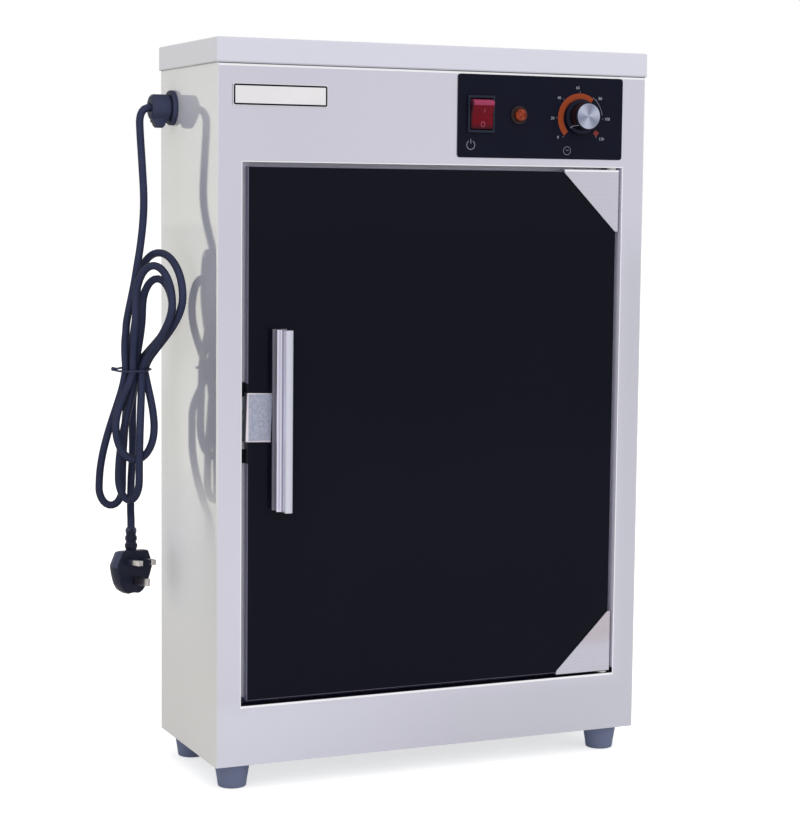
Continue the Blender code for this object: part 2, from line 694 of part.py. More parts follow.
def rack():
    """The slotted shelf and its two ledges."""
    rack_x = grown(CHAMBER_X, -RACK_CLEARANCE)
    rack_y = (RACK_FRONT, CHAMBER_BACK - RACK_BACK_GAP)
    top = MIDDLE_Z + RACK_RISE
    rack_z = (top - RACK_FLANGE, top)
    shelf = blocks("knife_rack", [(rack_x, rack_y, rack_z)], CHAMBER_STEEL)
    cut(shelf, blocks("rack_channel", [(grown(rack_x, OVERRUN), grown(rack_y, -SHEET),
                                        (rack_z[0] - OVERRUN, top - SHEET))]))
    slots = [(span(x, SLOT_WIDTH), grown(rack_y, -SLOT_MARGIN), (top - SHEET - OVERRUN, top + OVERRUN))
             for x in spaced(grown(rack_x, -SLOT_END), SLOT_COUNT)]
    cut(shelf, blocks("rack_slots", slots))
    ledge_top = rack_z[0] - GAP
    ledge_y = grown(rack_y, LEDGE_OVERLENGTH)
    for side, wall, inward in (("left", CHAMBER_X[0], 1), ("right", CHAMBER_X[1], -1)):
        edge = wall + inward * GAP
        reach = tuple(sorted((edge, edge + inward * LEDGE_REACH)))
        ledge = blocks("rack_ledge_" + side, [(reach, ledge_y, (ledge_top - LEDGE_HEIGHT, ledge_top))],
                       CHAMBER_STEEL)
        clear = tuple(sorted((edge + inward * LEDGE_SHEET, edge + inward * (LEDGE_REACH + OVERRUN))))
        cut(ledge, blocks("ledge_cut_" + side, [(clear, grown(ledge_y, OVERRUN),
                                                 (ledge_top - LEDGE_HEIGHT - OVERRUN,
                                                  ledge_top - LEDGE_SHEET))]))


def lamp():
    """The germicidal tube and its two holders on the chamber's back."""
    y, z = CHAMBER_BACK - TUBE_FROM_BACK, MIDDLE_Z + TUBE_RISE
    middle = BODY_WIDTH / 2
    half = middle - CHAMBER_X[0] - TUBE_END_GAP
    rod("uv_tube", (middle - half, y, z), (middle + half, y, z), TUBE_RADIUS, TUBE_GLASS, 24)
    for side, way in (("left", -1), ("right", 1)):
        inner = middle + way * (half - HOLDER_GRIP)
        holder = blocks("lamp_holder_" + side, [(tuple(sorted((inner, inner + way * HOLDER_WIDTH))),
                                                 (y - HOLDER_NOSE, CHAMBER_BACK - GAP),
                                                 span(z, HOLDER_HEIGHT))], BLACK_PLASTIC)
        cut(holder, rod("holder_bore_" + side, (inner - way * OVERRUN, y, z),
                        (middle + way * (half + GAP), y, z), TUBE_RADIUS + GAP, sides=24))


def heater():
    """The U element, its slotted guard and the thermostat under the floor."""
    z = CHAMBER_FLOOR + ELEMENT_RISE
    end = LINER_X[1] + ELEMENT_TAIL
    front, back = ELEMENT_Y
    radius = (back - front) / 2
    centre = (ELEMENT_LEFT + radius, front + radius)
    points = [at(end, front, z)]
    for step in range(13):
        angle = math.radians(-90 - 15 * step)
        points.append(at(centre[0] + radius * math.cos(angle), centre[1] + radius * math.sin(angle), z))
    points.append(at(end, back, z))
    tube("heating_element", points, ELEMENT_RADIUS, 2, ZINC)
    guard_x = grown(CHAMBER_X, -GUARD_SIDE)
    floor = CHAMBER_FLOOR + GAP
    guard = blocks("heater_guard", [(guard_x, GUARD_Y, (floor, floor + GUARD_HEIGHT))], CHAMBER_STEEL)
    cut(guard, blocks("guard_channel", [(grown(guard_x, OVERRUN), grown(GUARD_Y, -SHEET),
                                         (floor - OVERRUN, floor + GUARD_HEIGHT - SHEET))]))
    slots = [(span(x, GUARD_SLOT_WIDTH), grown(GUARD_Y, -GUARD_SLOT_MARGIN),
              span(floor + GUARD_HEIGHT, OVERRUN * 2))
             for x in spaced(grown(guard_x, -GUARD_SLOT_END), GUARD_SLOT_COUNT)]
    cut(guard, blocks("guard_slots", slots))
    top = LINER_Z[0] - GAP
    y = sum(GUARD_Y) / 2
    rod("thermostat", (THERMOSTAT_X, y, top - THERMOSTAT_HEIGHT), (THERMOSTAT_X, y, top),
        THERMOSTAT_RADIUS, BLACK_PLASTIC, 24)


def bay():
    """The lamp's ballast and the terminal block on the chamber's top."""
    x = (BALLAST_X, BALLAST_X + BALLAST_WIDTH)
    y = (BALLAST_Y, BALLAST_Y + BALLAST_DEPTH)
    ballast = blocks("ballast", [(x, y, (DECK, DECK + BALLAST_HEIGHT))], ZINC)
    cut(ballast, blocks("ballast_tabs", [(grown(x, BALLAST_TAB), grown(y, -BALLAST_TAB),
                                          (DECK, DECK + BALLAST_TAB_HEIGHT))]), 'UNION')
    x = (TERMINAL_X, TERMINAL_X + TERMINAL_WIDTH)
    y = span(GLAND_Y, TERMINAL_DEPTH)
    block = blocks("terminal_block", [(x, y, (DECK, DECK + TERMINAL_HEIGHT))], NYLON)
    wells = [(span(middle, TERMINAL_WELL), span(GLAND_Y, TERMINAL_WELL),
              (DECK + TERMINAL_HEIGHT - TERMINAL_WELL_DEPTH, DECK + TERMINAL_HEIGHT + OVERRUN))
             for middle in spaced(grown(x, -TERMINAL_WIDTH / TERMINAL_COUNT / 2), TERMINAL_COUNT)]
    cut(block, blocks("terminal_wells", wells))


def catch():
    """The magnetic catch at the opening's left side."""
    x = (OPENING_X[0] + GAP, OPENING_X[0] + CATCH_WIDTH + GAP)
    y = (CATCH_FRONT, CATCH_FRONT + CATCH_DEPTH)
    body = blocks("catch_body", [(x, y, span(CATCH_CENTRE, CATCH_HEIGHT))], BLACK_PLASTIC)
    pole_x = grown(x, -POLE_MARGIN)
    pole_y = (CATCH_FRONT - POLE_PROUD, CATCH_FRONT - POLE_PROUD + POLE_DEPTH)
    pole_z = span(CATCH_CENTRE, POLE_HEIGHT)
    cut(body, blocks("pole_pocket", [(grown(pole_x, GAP), (pole_y[0] - OVERRUN, pole_y[1] + GAP),
                                      grown(pole_z, GAP))]))
    poles = blocks("catch_poles", [(pole_x, pole_y, pole_z)], ZINC)
    cut(poles, blocks("pole_groove", [(span(sum(pole_x) / 2, POLE_GROOVE),
                                       (pole_y[0] - OVERRUN, pole_y[0] + POLE_GROOVE_DEPTH),
                                       grown(pole_z, OVERRUN))]))


def door():
    """The glass with all that turns with it, about its two pivots."""
    hinge = bpy.data.objects.new("door_hinge", None)
    PARTS.objects.link(hinge)
    hinge.location = at(PIVOT_X, PIVOT_Y, sum(GLASS_Z) / 2)
    glass = blocks("door_glass", [(GLASS_X, GLASS_Y, GLASS_Z)], GLASS)
    pieces = [glass, strike_clip(), *handle(glass), shoe("top", GLASS_Z[1], 1),
              shoe("bottom", GLASS_Z[0], -1), pivot("top", GLASS_Z[1], OPENING_Z[1], 1),
              pivot("bottom", GLASS_Z[0], OPENING_Z[0], -1)]
    parent(pieces, hinge)


def strike_clip():
    """The steel clip over the glass's free edge, that the catch draws."""
    x = (GLASS_X[0] - GAP - CLIP_SHEET, GLASS_X[0] - GAP - CLIP_SHEET + CLIP_REACH)
    z = span(CLIP_CENTRE, CLIP_HEIGHT)
    clip = blocks("strike_clip", [(x, grown(GLASS_Y, GAP + CLIP_SHEET), z)], STEEL)
    cut(clip, blocks("clip_slot", [((x[0] + CLIP_SHEET, x[1] + OVERRUN), grown(GLASS_Y, GAP),
                                    grown(z, OVERRUN))]))
    return clip


def handle(glass):
    """The bent handle and the two screws that hold it through the glass."""
    left = GLASS_X[0] + HANDLE_INSET
    points = [(across * HANDLE_WIDTH, -out * HANDLE_REACH) for across, out in HANDLE_OUTLINE_SHARES]
    grip = outline("handle", points, HANDLE_HEIGHT, FLAT,
                   at(left, HANDLE_BACK, HANDLE_BOTTOM + HANDLE_HEIGHT / 2), STEEL)
    made = [grip]
    x = left + HANDLE_WIDTH - HANDLE_SCREW_INSET
    bore = HANDLE_SCREW_RADIUS + GAP
    grip_depth = HANDLE_SCREW_GRIP + GAP
    head = GLASS_Y[1] + GAP
    for name, z in (("lower", HANDLE_BOTTOM + HANDLE_SCREW_FROM_END),
                    ("upper", HANDLE_BOTTOM + HANDLE_HEIGHT - HANDLE_SCREW_FROM_END)):
        cut(glass, rod("glass_hole_" + name, (x, GLASS_Y[0] - OVERRUN, z), (x, GLASS_Y[1] + OVERRUN, z),
                       bore, sides=16))
        cut(grip, rod("handle_hole_" + name, (x, HANDLE_BACK - grip_depth, z),
                      (x, HANDLE_BACK + OVERRUN, z), bore, sides=16))
        tip = HANDLE_BACK - HANDLE_SCREW_GRIP
        crown = head + HANDLE_SCREW_HEAD
        made.append(turned("handle_screw_" + name,
                           ((0, crown), (HANDLE_SCREW_HEAD_RADIUS, crown),
                            (HANDLE_SCREW_HEAD_RADIUS, head), (HANDLE_SCREW_RADIUS, head),
                            (HANDLE_SCREW_RADIUS, tip), (0, tip)), (x, 0, z), (0, 1, 0), STEEL, 16))
    return made


def shoe(name, edge, way):
    """A three-cornered steel shoe over a corner of the glass."""
    web = edge + way * (GAP + SHOE_SHEET)
    right = GLASS_X[1] + GAP + SHOE_SHEET
    corners = ((0, 0), (-SHOE_LENGTH, 0), (-SHOE_LENGTH, -way * SHOE_TOE), (-SHOE_TOE, -way * SHOE_LENGTH),
               (0, -way * SHOE_LENGTH))
    thickness = GLASS_THICKNESS + 2 * (GAP + SHOE_SHEET)
    made = outline("hinge_shoe_" + name, corners, thickness, FACING_FRONT, at(right, PIVOT_Y, web), STEEL)
    inner = tuple(sorted((web - way * (SHOE_LENGTH + OVERRUN), edge + way * GAP)))
    cut(made, blocks("shoe_slot_" + name, [((right - SHOE_LENGTH - OVERRUN, right - SHOE_SHEET),
                                            grown(GLASS_Y, GAP), inner)]))
    return made


def pivot(name, edge, frame, way):
    """A pin on the shoe and the bush that it turns in, in the opening's return."""
    web = edge + way * (GAP + SHOE_SHEET)
    seat = web + way * GAP
    pin = rod("pivot_pin_" + name, (PIVOT_X, PIVOT_Y, seat), (PIVOT_X, PIVOT_Y, seat + way * PIN_REACH),
              PIN_RADIUS, STEEL, 24)
    flange = abs(frame - seat) - GAP
    bore = PIN_RADIUS + GAP
    stem = flange + GAP + SHEET + BUSH_STEM
    turned("pivot_bush_" + name, ((bore, stem), (BUSH_STEM_RADIUS, stem), (BUSH_STEM_RADIUS, flange),
                                  (BUSH_FLANGE_RADIUS, flange), (BUSH_FLANGE_RADIUS, 0), (bore, 0)),
           (PIVOT_X, PIVOT_Y, seat), (0, 0, way), NYLON, 24)
    return pin


def panel():
    """The dark control panel and the bare name plate."""
    radius = PANEL_CORNER
    (left, right), (low, high) = grown(PANEL_X, -radius), grown(PANEL_Z, -radius)
    centres = ((right, high, 0), (left, high, 90), (left, low, 180), (right, low, 270))
    points = []
    for x, z, start in centres:
        for step in range(4):
            angle = math.radians(start + 30 * step)
            points.append((x + radius * math.cos(angle), z + radius * math.sin(angle)))
    plate = outline("control_panel", points, SHEET, FACING_FRONT, at(0, PANEL_FACE + SHEET / 2, 0),
                    PANEL_BLACK)
    for hole in control_holes("panel", (PANEL_FACE - OVERRUN, OVERRUN)):
        cut(plate, hole)
    low = BODY_HEIGHT - PLATE_DROP
    blocks("name_plate", [((PLATE_X, PLATE_X + PLATE_WIDTH), (-GAP - PLATE_THICKNESS, -GAP),
                           (low, low + PLATE_HEIGHT))], STEEL)


def switch():
    """The lit rocker switch: its housing, and the rocker about its own pivot."""
    x = PANEL_X[0] + SWITCH_X
    back = PANEL_FACE - GAP
    housing = blocks("switch_housing", [(span(x, BEZEL_WIDTH), (back - BEZEL_THICKNESS, back),
                                         span(CONTROL_Z, BEZEL_HEIGHT))], BLACK_PLASTIC)
    body = blocks("switch_body", [(span(x, BEZEL_WIDTH - 2 * BEZEL_OVERLAP),
                                   (back - BEZEL_THICKNESS / 2, back + HOUSING_DEPTH),
                                   span(CONTROL_Z, BEZEL_HEIGHT - 2 * BEZEL_OVERLAP))])
    cut(housing, body, 'UNION')
    cut(housing, blocks("switch_well", [(span(x, WELL_WIDTH), (back - BEZEL_THICKNESS - OVERRUN,
                                                               back + WELL_DEPTH),
                                         span(CONTROL_Z, WELL_HEIGHT))]))
    reach = math.sqrt(ROCKER_RADIUS ** 2 - ROCKER_CREST ** 2)
    front_angle = math.atan2(ROCKER_CREST, reach) + ROCKER_ANGLE
    back_angle = -math.asin(ROCKER_BACK / ROCKER_RADIUS)
    rim = [front_angle + (back_angle - front_angle) * step / 6 for step in range(7)]
    upper = [(-ROCKER_RADIUS * math.sin(angle), ROCKER_RADIUS * math.cos(angle)) for angle in rim]
    lower = [(depth, -height) for depth, height in reversed(upper)]
    points = [(-ROCKER_CREST / math.cos(ROCKER_ANGLE), 0), *upper, *lower]
    lean = Matrix.Rotation(ROCKER_ANGLE, 3, 'X')
    outline("switch_rocker", points, WELL_WIDTH - 2 * SIDE_CLEARANCE, lean @ FACING_SIDE,
            at(x, ROCKER_PIVOT_DEPTH, CONTROL_Z), RED_PLASTIC)


def indicator():
    """The indicator lamp: its bezel with the lamp body, and the amber lens."""
    x = PANEL_X[0] + LAMP_X
    back = PANEL_FACE - GAP
    bore = LAMP_BORE_RADIUS
    turned("lamp_bezel", ((bore, LAMP_FLANGE), (LAMP_FACE_RADIUS, LAMP_FLANGE),
                          (LAMP_FLANGE_RADIUS, LAMP_FLANGE - LAMP_EDGE), (LAMP_FLANGE_RADIUS, 0),
                          (LAMP_BODY_RADIUS, 0), (LAMP_BODY_RADIUS, -LAMP_BODY_DEPTH),
                          (bore, -LAMP_BODY_DEPTH)), (x, back, CONTROL_Z), (0, -1, 0), ALUMINIUM, 32)
    base = LAMP_FLANGE + GAP
    top = base + LENS_HEIGHT
    turned("lamp_lens", ((0, top), (LENS_FLAT_RADIUS, top), (LENS_RADIUS, top - LENS_CROWN),
                         (LENS_RADIUS, base), (0, base)), (x, back, CONTROL_Z), (0, -1, 0),
           AMBER_PLASTIC, 12)


def timer():
    """The timer behind the panel, its shaft, and the knob with its metal cap."""
    x, z = PANEL_X[0] + TIMER_X, CONTROL_Z
    front = SHEET + GAP
    body = blocks("timer_body", [(span(x, TIMER_SIZE), (front, front + TIMER_DEPTH),
                                  span(z, TIMER_SIZE))], BLACK_PLASTIC)
    bush_end = PANEL_FACE - TIMER_BUSH_PROUD
    cut(body, rod("timer_bush", (x, bush_end, z), (x, front + SHEET, z), TIMER_BUSH_RADIUS), 'UNION')
    cut(body, rod("shaft_bore", (x, bush_end - OVERRUN, z), (x, SHAFT_BACK + GAP, z), SHAFT_RADIUS + GAP))
    shaft = rod("timer_shaft", (x, -SHAFT_FRONT, z), (x, SHAFT_BACK, z), SHAFT_RADIUS, STEEL, 24)
    bore = SHAFT_RADIUS + GAP
    blind = SHAFT_FRONT + GAP
    knob = turned("timer_knob", ((0, KNOB_FRONT), (KNOB_RADIUS - KNOB_EDGE, KNOB_FRONT),
                                 (KNOB_RADIUS, KNOB_FRONT - KNOB_EDGE),
                                 (KNOB_ROOT_RADIUS, KNOB_BACK + SKIRT_THICKNESS),
                                 (SKIRT_RADIUS, KNOB_BACK + SKIRT_THICKNESS / 2), (SKIRT_RADIUS, KNOB_BACK),
                                 (bore, KNOB_BACK), (bore, blind), (0, blind)),
                  (x, 0, z), (0, -1, 0), BLACK_PLASTIC, 48)
    seat = KNOB_FRONT + GAP
    crown = seat + CAP_THICKNESS
    edge = CAP_THICKNESS / 2
    cap = turned("timer_knob_cap", ((0, crown), (CAP_RADIUS - edge, crown), (CAP_RADIUS, crown - edge),
                                    (CAP_RADIUS, seat), (0, seat)),
                 (x, 0, z), (0, -1, 0), ALUMINIUM, 48)
    axle = bpy.data.objects.new("timer_axle", None)
    PARTS.objects.link(axle)
    axle.location = at(x, 0, z)
    parent((shaft, knob, cap), axle)


def gland():
    """The cable gland in the left side, with its clamping nut and its lock nut."""
    base = (0, GLAND_Y, GLAND_Z)
    bore = GLAND_BORE_RADIUS
    flange = GAP + GLAND_FLANGE
    turned("gland_body", ((bore, GLAND_NECK_END), (GLAND_NECK_RADIUS, GLAND_NECK_END),
                          (GLAND_NECK_RADIUS, flange), (GLAND_FLANGE_RADIUS, flange),
                          (GLAND_FLANGE_RADIUS, GAP), (GLAND_THREAD_RADIUS, GAP),
                          (GLAND_THREAD_RADIUS, -GLAND_INSIDE), (bore, -GLAND_INSIDE)),
           base, (-1, 0, 0), BLACK_PLASTIC)
    start = flange + GAP
    inner = GLAND_NECK_RADIUS + GAP
    nut = turned("gland_nut", ((bore, NUT_END), (NUT_RADIUS - NUT_EDGE, NUT_END),
                               (NUT_RADIUS, NUT_END - NUT_EDGE), (NUT_RADIUS, CLAMP_END),
                               (NUT_RADIUS - NUT_RIB, CLAMP_END - NUT_RIB),
                               (NUT_RADIUS - NUT_RIB, start), (inner, start), (inner, GLAND_NECK_END + GAP),
                               (bore, GLAND_NECK_END + GAP)), base, (-1, 0, 0), BLACK_PLASTIC)
    cut(nut, blocks("gland_clamp", [((-CLAMP_END, -CLAMP_START), span(GLAND_Y, CLAMP_WIDTH),
                                     (GLAND_Z - CLAMP_DROP, GLAND_Z - inner))]), 'UNION')
    inside = SHEET + GAP
    ring = (GLAND_THREAD_RADIUS + GAP) / math.cos(math.radians(30))
    turned("gland_lock_nut", ((ring, -inside), (LOCK_NUT_RADIUS, -inside),
                              (LOCK_NUT_RADIUS, -inside - LOCK_NUT_THICKNESS),
                              (ring, -inside - LOCK_NUT_THICKNESS)), base, (-1, 0, 0), BLACK_PLASTIC, 6)


def from_gland(place):
    """World position of a point given from the middle of the gland's hole."""
    return at(0, GLAND_Y, GLAND_Z) + Vector(place)


def in_hank(place):
    """World position of a point in the hank's frame: across, along the view and up."""
    return from_gland(WAIST) + HANK_FRAME @ Vector(place)


def smooth_route(points, step):
    """Evenly spaced points on a smooth curve through the points of a route."""
    points = [Vector(point) for point in points]
    ends = [2 * points[0] - points[1], *points, 2 * points[-1] - points[-2]]
    fine = []
    for before, start, end, after in zip(ends, ends[1:], ends[2:], ends[3:]):
        for share in np.linspace(0, 1, 12, endpoint=False):
            fine.append(0.5 * (2 * start + (end - before) * share
                               + (2 * before - 5 * start + 4 * end - after) * share ** 2
                               + (3 * start - before - 3 * end + after) * share ** 3))
    fine.append(points[-1])
    lengths = np.cumsum([0] + [(end - start).length for start, end in zip(fine, fine[1:])])
    count = max(2, int(lengths[-1] / step) + 1)
    wanted = np.linspace(0, lengths[-1], count)
    columns = [np.interp(wanted, lengths, [point[axis] for point in fine]) for axis in range(3)]
    return [Vector(point) for point in zip(*columns)]


def loop_points(loop, start, end):
    """One loop of the hank: out from a strand's place at the waist, round, and back to the next."""
    way, middle, height, half_width, rise, side, stand_out, stand_back = loop

    def run(strand, edge, stand):
        """The run from the waist to the side of the loop, that fans out on its way."""
        for place in range(RUN_POINTS):
            share = place / RUN_POINTS
            fan = share ** FAN_POWER
            fan = fan * fan * (3 - 2 * fan)
            along = LOOP_TURN * edge + stand
            yield (strand[0] + (edge - strand[0]) * fan, strand[1] + (along - strand[1]) * fan,
                   way * height * share)

    points = list(run(start, middle + side * half_width, stand_out))
    for place in range(ARC_POINTS):
        angle = math.pi * place / (ARC_POINTS - 1)
        across = middle + side * half_width * math.cos(angle)
        stand = (stand_out + stand_back) / 2 + (stand_out - stand_back) / 2 * math.cos(angle)
        points.append((across, LOOP_TURN * across + stand, way * (height + rise * math.sin(angle))))
    return points + list(run(end, middle - side * half_width, stand_back))[::-1]


def hank_points():
    """All points of the hank, from the lead's end to the tail's start."""
    points = list(HANK_ENTRY)
    for place, loop in enumerate(LOOPS):
        made = loop_points(loop, STRANDS[place], STRANDS[place + 1])
        points += made if place == 0 else made[1:]
    return [in_hank(point) for point in points + list(HANK_EXIT)]


def print_least_gap(points):
    """Measure the least gap of the hank's tube to itself, and its length, and print them."""
    dense = []
    for start, end in zip(points, points[1:]):
        count = max(1, round((end - start).length / CORD_DIAMETER * 3))
        dense += [start + (end - start) * step / count for step in range(count)]
    places = np.array(dense)
    steps = np.linalg.norm(np.diff(places, axis=0), axis=1)
    travel = np.concatenate(([0], np.cumsum(steps)))
    apart = np.linalg.norm(places[:, None] - places[None], axis=2)
    apart[np.abs(travel[:, None] - travel[None]) < 3.5 * CORD_DIAMETER] = np.inf
    print("hank: least gap %.2f mm, length %.0f mm"
          % ((apart.min() - CORD_DIAMETER) * 1000, travel[-1] * 1000))


def cord():
    """The lead from the gland, the hank with its tie, and the tail down to the plug."""
    radius = CORD_DIAMETER / 2
    hank = hank_points()
    print_least_gap(hank)
    start_way = (hank[0] - hank[1]).normalized()
    end_way = (hank[-1] - hank[-2]).normalized()
    lead = smooth_route([*(from_gland(point) for point in LEAD_ROUTE),
                         hank[0] + start_way * CORD_DIAMETER], CORD_STEP / 2)
    tube("cord_lead", lead + [hank[0] + start_way * GAP], radius, 2, CORD_RUBBER)
    tube("cord_hank", hank, radius, 1, CORD_RUBBER)
    plug_top = plug_place() + Vector((0, 0, PLUG_HEIGHT + RELIEF_LENGTH + GAP))
    tail = smooth_route([hank[-1] + end_way * CORD_DIAMETER, *(in_hank(point) for point in TAIL_ROUTE),
                         plug_top + Vector((0, 0, CORD_DIAMETER))], CORD_STEP)
    tail = [hank[-1] + end_way * GAP, *tail, plug_top]
    tube("cord_tail", tail, radius, 2, CORD_RUBBER)


def plug_place():
    """World position of the middle of the plug's lower edge."""
    return in_hank(PLUG_FOOT)


def tie():
    """The wire tie round the waist, with its two ends standing out to the left."""
    strands = np.array(STRANDS)
    offset = CORD_DIAMETER / 2 + GAP * 2 + TIE_RADIUS
    start = math.radians(195)
    points = []
    for step in range(TIE_STEPS + 1):
        angle = start + math.radians(335) * step / TIE_STEPS
        way = np.array((math.cos(angle), math.sin(angle)))
        corner = strands[np.argmax(strands @ way)]
        across, along = corner + offset * way
        points.append((across, along, TIE_LAY * (step / TIE_STEPS - 0.5)))
    first, last = points[0], points[-1]
    points.insert(0, (first[0] - TIE_END, first[1] - TIE_END_SIDE, first[2] - TIE_END_LIFT / 2))
    points.append((last[0] - TIE_END, last[1] - TIE_END_SIDE, last[2] + TIE_END_LIFT))
    tube("cord_tie", [in_hank(point) for point in points], TIE_RADIUS, 1, BLACK_PLASTIC)


def plug():
    """The moulded plug with its ringed strain relief, and its three pins."""
    facing = (Matrix.Rotation(PIN_HEADING - math.radians(90), 3, 'Z')
              @ Matrix.Rotation(PLUG_ROLL, 3, 'Y'))
    top_place = plug_place() + Vector((0, 0, PLUG_HEIGHT))
    foot_place = top_place - facing @ Vector((0, 0, PLUG_HEIGHT))
    points = [(across * PLUG_WIDTH, up * PLUG_HEIGHT) for across, up in PLUG_OUTLINE_SHARES]
    body = outline("plug_body", points, PLUG_DEPTH, facing @ FACING_FRONT, foot_place, CORD_RUBBER)
    edges = body.modifiers.new("edges", 'BEVEL')
    edges.width = PLUG_EDGE
    edges.segments = 2
    cut(body, strain_relief(top_place), 'UNION')
    face = PLUG_DEPTH / 2 + GAP
    short_z = PLUG_HEIGHT - SHORT_PIN_DROP
    for name, size, across, up in (("line", SHORT_PIN, -PIN_PITCH / 2, short_z),
                                   ("neutral", SHORT_PIN, PIN_PITCH / 2, short_z),
                                   ("earth", LONG_PIN, 0, LONG_PIN_RISE)):
        width, height, length = size
        pin = blocks("plug_pin_" + name, [((0, width), (0, length), (0, height))], BRASS)
        pin.rotation_euler = facing.to_euler()
        pin.location = foot_place + facing @ Vector((across, face + length / 2, up))


def strain_relief(top_place):
    """The ringed sleeve on the plug's cord end."""
    pitch = RELIEF_LENGTH / RELIEF_RINGS
    profile = [(0, RELIEF_LENGTH), (RELIEF_CORE_RADIUS, RELIEF_LENGTH)]
    for ring in range(RELIEF_RINGS):
        top = RELIEF_LENGTH - ring * pitch - pitch * (1 - RELIEF_RING_SHARE) / 2
        bottom = top - pitch * RELIEF_RING_SHARE
        profile += [(RELIEF_CORE_RADIUS, top), (RELIEF_RING_RADIUS, top - RELIEF_RING_EDGE),
                    (RELIEF_RING_RADIUS, bottom + RELIEF_RING_EDGE), (RELIEF_CORE_RADIUS, bottom)]
    profile += [(RELIEF_CORE_RADIUS, -PLUG_EDGE * 2), (0, -PLUG_EDGE * 2)]
    relief = turned("strain_relief", profile, (0, 0, 0), (0, 0, 1), sides=20)
    relief.location = top_place
    return relief


outer_shell()
cabinet()
liner()
rack()
lamp()
heater()
bay()
catch()
door()
panel()
switch()
indicator()
timer()
gland()
cord()
tie()
plug()
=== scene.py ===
# %% [markdown]
# # A knife sterilizer
#
# This lesson dresses a steel cabinet in which a kitchen keeps its knives clean: a box on rubber
# feet, a dark glass door, a small control panel, and a mains lead that hangs tied in a hank. The
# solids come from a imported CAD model. Each step says what a piece or a finish is on the real
# object, how it could be made, and why this way was chosen.

# %% Load the frame
import json
import math
import bmesh
import bpy
import numpy as np
from mathutils import Matrix, Vector

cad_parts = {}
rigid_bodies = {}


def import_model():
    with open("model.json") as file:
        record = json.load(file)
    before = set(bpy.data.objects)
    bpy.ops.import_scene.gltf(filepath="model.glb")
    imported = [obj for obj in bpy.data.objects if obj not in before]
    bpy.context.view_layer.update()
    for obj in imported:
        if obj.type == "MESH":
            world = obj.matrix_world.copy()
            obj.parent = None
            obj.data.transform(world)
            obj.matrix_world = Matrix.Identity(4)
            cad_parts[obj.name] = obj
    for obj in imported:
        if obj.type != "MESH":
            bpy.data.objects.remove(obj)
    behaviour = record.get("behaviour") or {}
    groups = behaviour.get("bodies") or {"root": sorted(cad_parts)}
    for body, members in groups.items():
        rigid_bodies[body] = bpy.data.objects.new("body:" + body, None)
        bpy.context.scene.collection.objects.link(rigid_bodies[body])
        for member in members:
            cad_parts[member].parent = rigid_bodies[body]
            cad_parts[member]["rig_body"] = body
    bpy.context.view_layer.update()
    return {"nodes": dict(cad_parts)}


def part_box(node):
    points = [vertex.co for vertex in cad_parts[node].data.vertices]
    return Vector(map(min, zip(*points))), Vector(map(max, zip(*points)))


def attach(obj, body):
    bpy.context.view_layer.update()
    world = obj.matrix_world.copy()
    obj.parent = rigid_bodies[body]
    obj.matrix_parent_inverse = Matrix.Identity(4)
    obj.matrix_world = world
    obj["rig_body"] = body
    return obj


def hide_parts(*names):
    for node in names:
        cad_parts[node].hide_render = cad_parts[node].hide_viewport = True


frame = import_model()
nodes = frame["nodes"]

# %% [markdown]
# ## The camera
# The camera stands a little to the left of the cabinet and looks down on it very slightly. Its
# place could be found by eye, but here it was fitted to the cabinet's corners, which gives a
# turned frame: one direction to the right, one up, and one back towards the viewer. A lens of
# 95 mm keeps the box's lines nearly parallel, as in the photograph.

# %% Camera
RIGHT = (0.91440486, -0.40467059, 0.0102691)
UP = (0.0305038, 0.09417902, 0.99508785)
BACK = (-0.40364993, -0.90959992, 0.09846174)
CAMERA_AT = (-0.77416, -1.73271, 0.50196)
LENS, SENSOR = 94.92, 36


def added(name, data):
    """A new object in the scene."""
    made = bpy.data.objects.new(name, data)
    bpy.context.scene.collection.objects.link(made)
    return made


camera = added("camera", bpy.data.cameras.new("camera"))
camera.data.sensor_width, camera.data.lens = SENSOR, LENS
camera.matrix_world = (Matrix.Translation(CAMERA_AT)
                       @ Matrix((RIGHT, UP, BACK)).transposed().to_4x4())
bpy.context.scene.camera = camera
print("camera at", [round(value, 3) for value in camera.matrix_world.translation])

# %% [markdown]
# ## Surfaces worked out with numpy
# Most new pieces are a grid of points: a closed ring of points that is carried along a line, or a
# profile turned round an axis. Adding vertices one by one would be slow and hard to read, so each
# shape is worked out as one array, and one helper turns any such grid into a mesh. Points that
# fall together, such as those at a pole, are merged, so the surface closes.

# %% From a grid to a piece
WELD = 0.000001


def piece(name, grids, look, body, stands_for=(), sharp=35):
    """A mesh from one or more grids of rings (rings, points round, 3): each quad joins four
    neighbours, each ring closes on itself, and the first and last rings are filled."""
    points, faces, start = [], [], 0
    for grid in grids:
        grid = np.asarray(grid, float)
        rings, around = grid.shape[:2]
        ring, place = np.meshgrid(np.arange(rings - 1), np.arange(around), indexing="ij")
        after = (place + 1) % around
        quads = np.stack([ring * around + place, ring * around + after,
                          (ring + 1) * around + after, (ring + 1) * around + place], -1)
        points.append(grid.reshape(-1, 3))
        faces += (quads.reshape(-1, 4) + start).tolist()
        faces += [list(range(start, start + around))[::-1],
                  list(range(start + (rings - 1) * around, start + rings * around))]
        start += rings * around
    mesh = bpy.data.meshes.new(name)
    mesh.from_pydata(np.concatenate(points).tolist(), [], faces)
    return finished(name, mesh, look, body, stands_for, sharp)


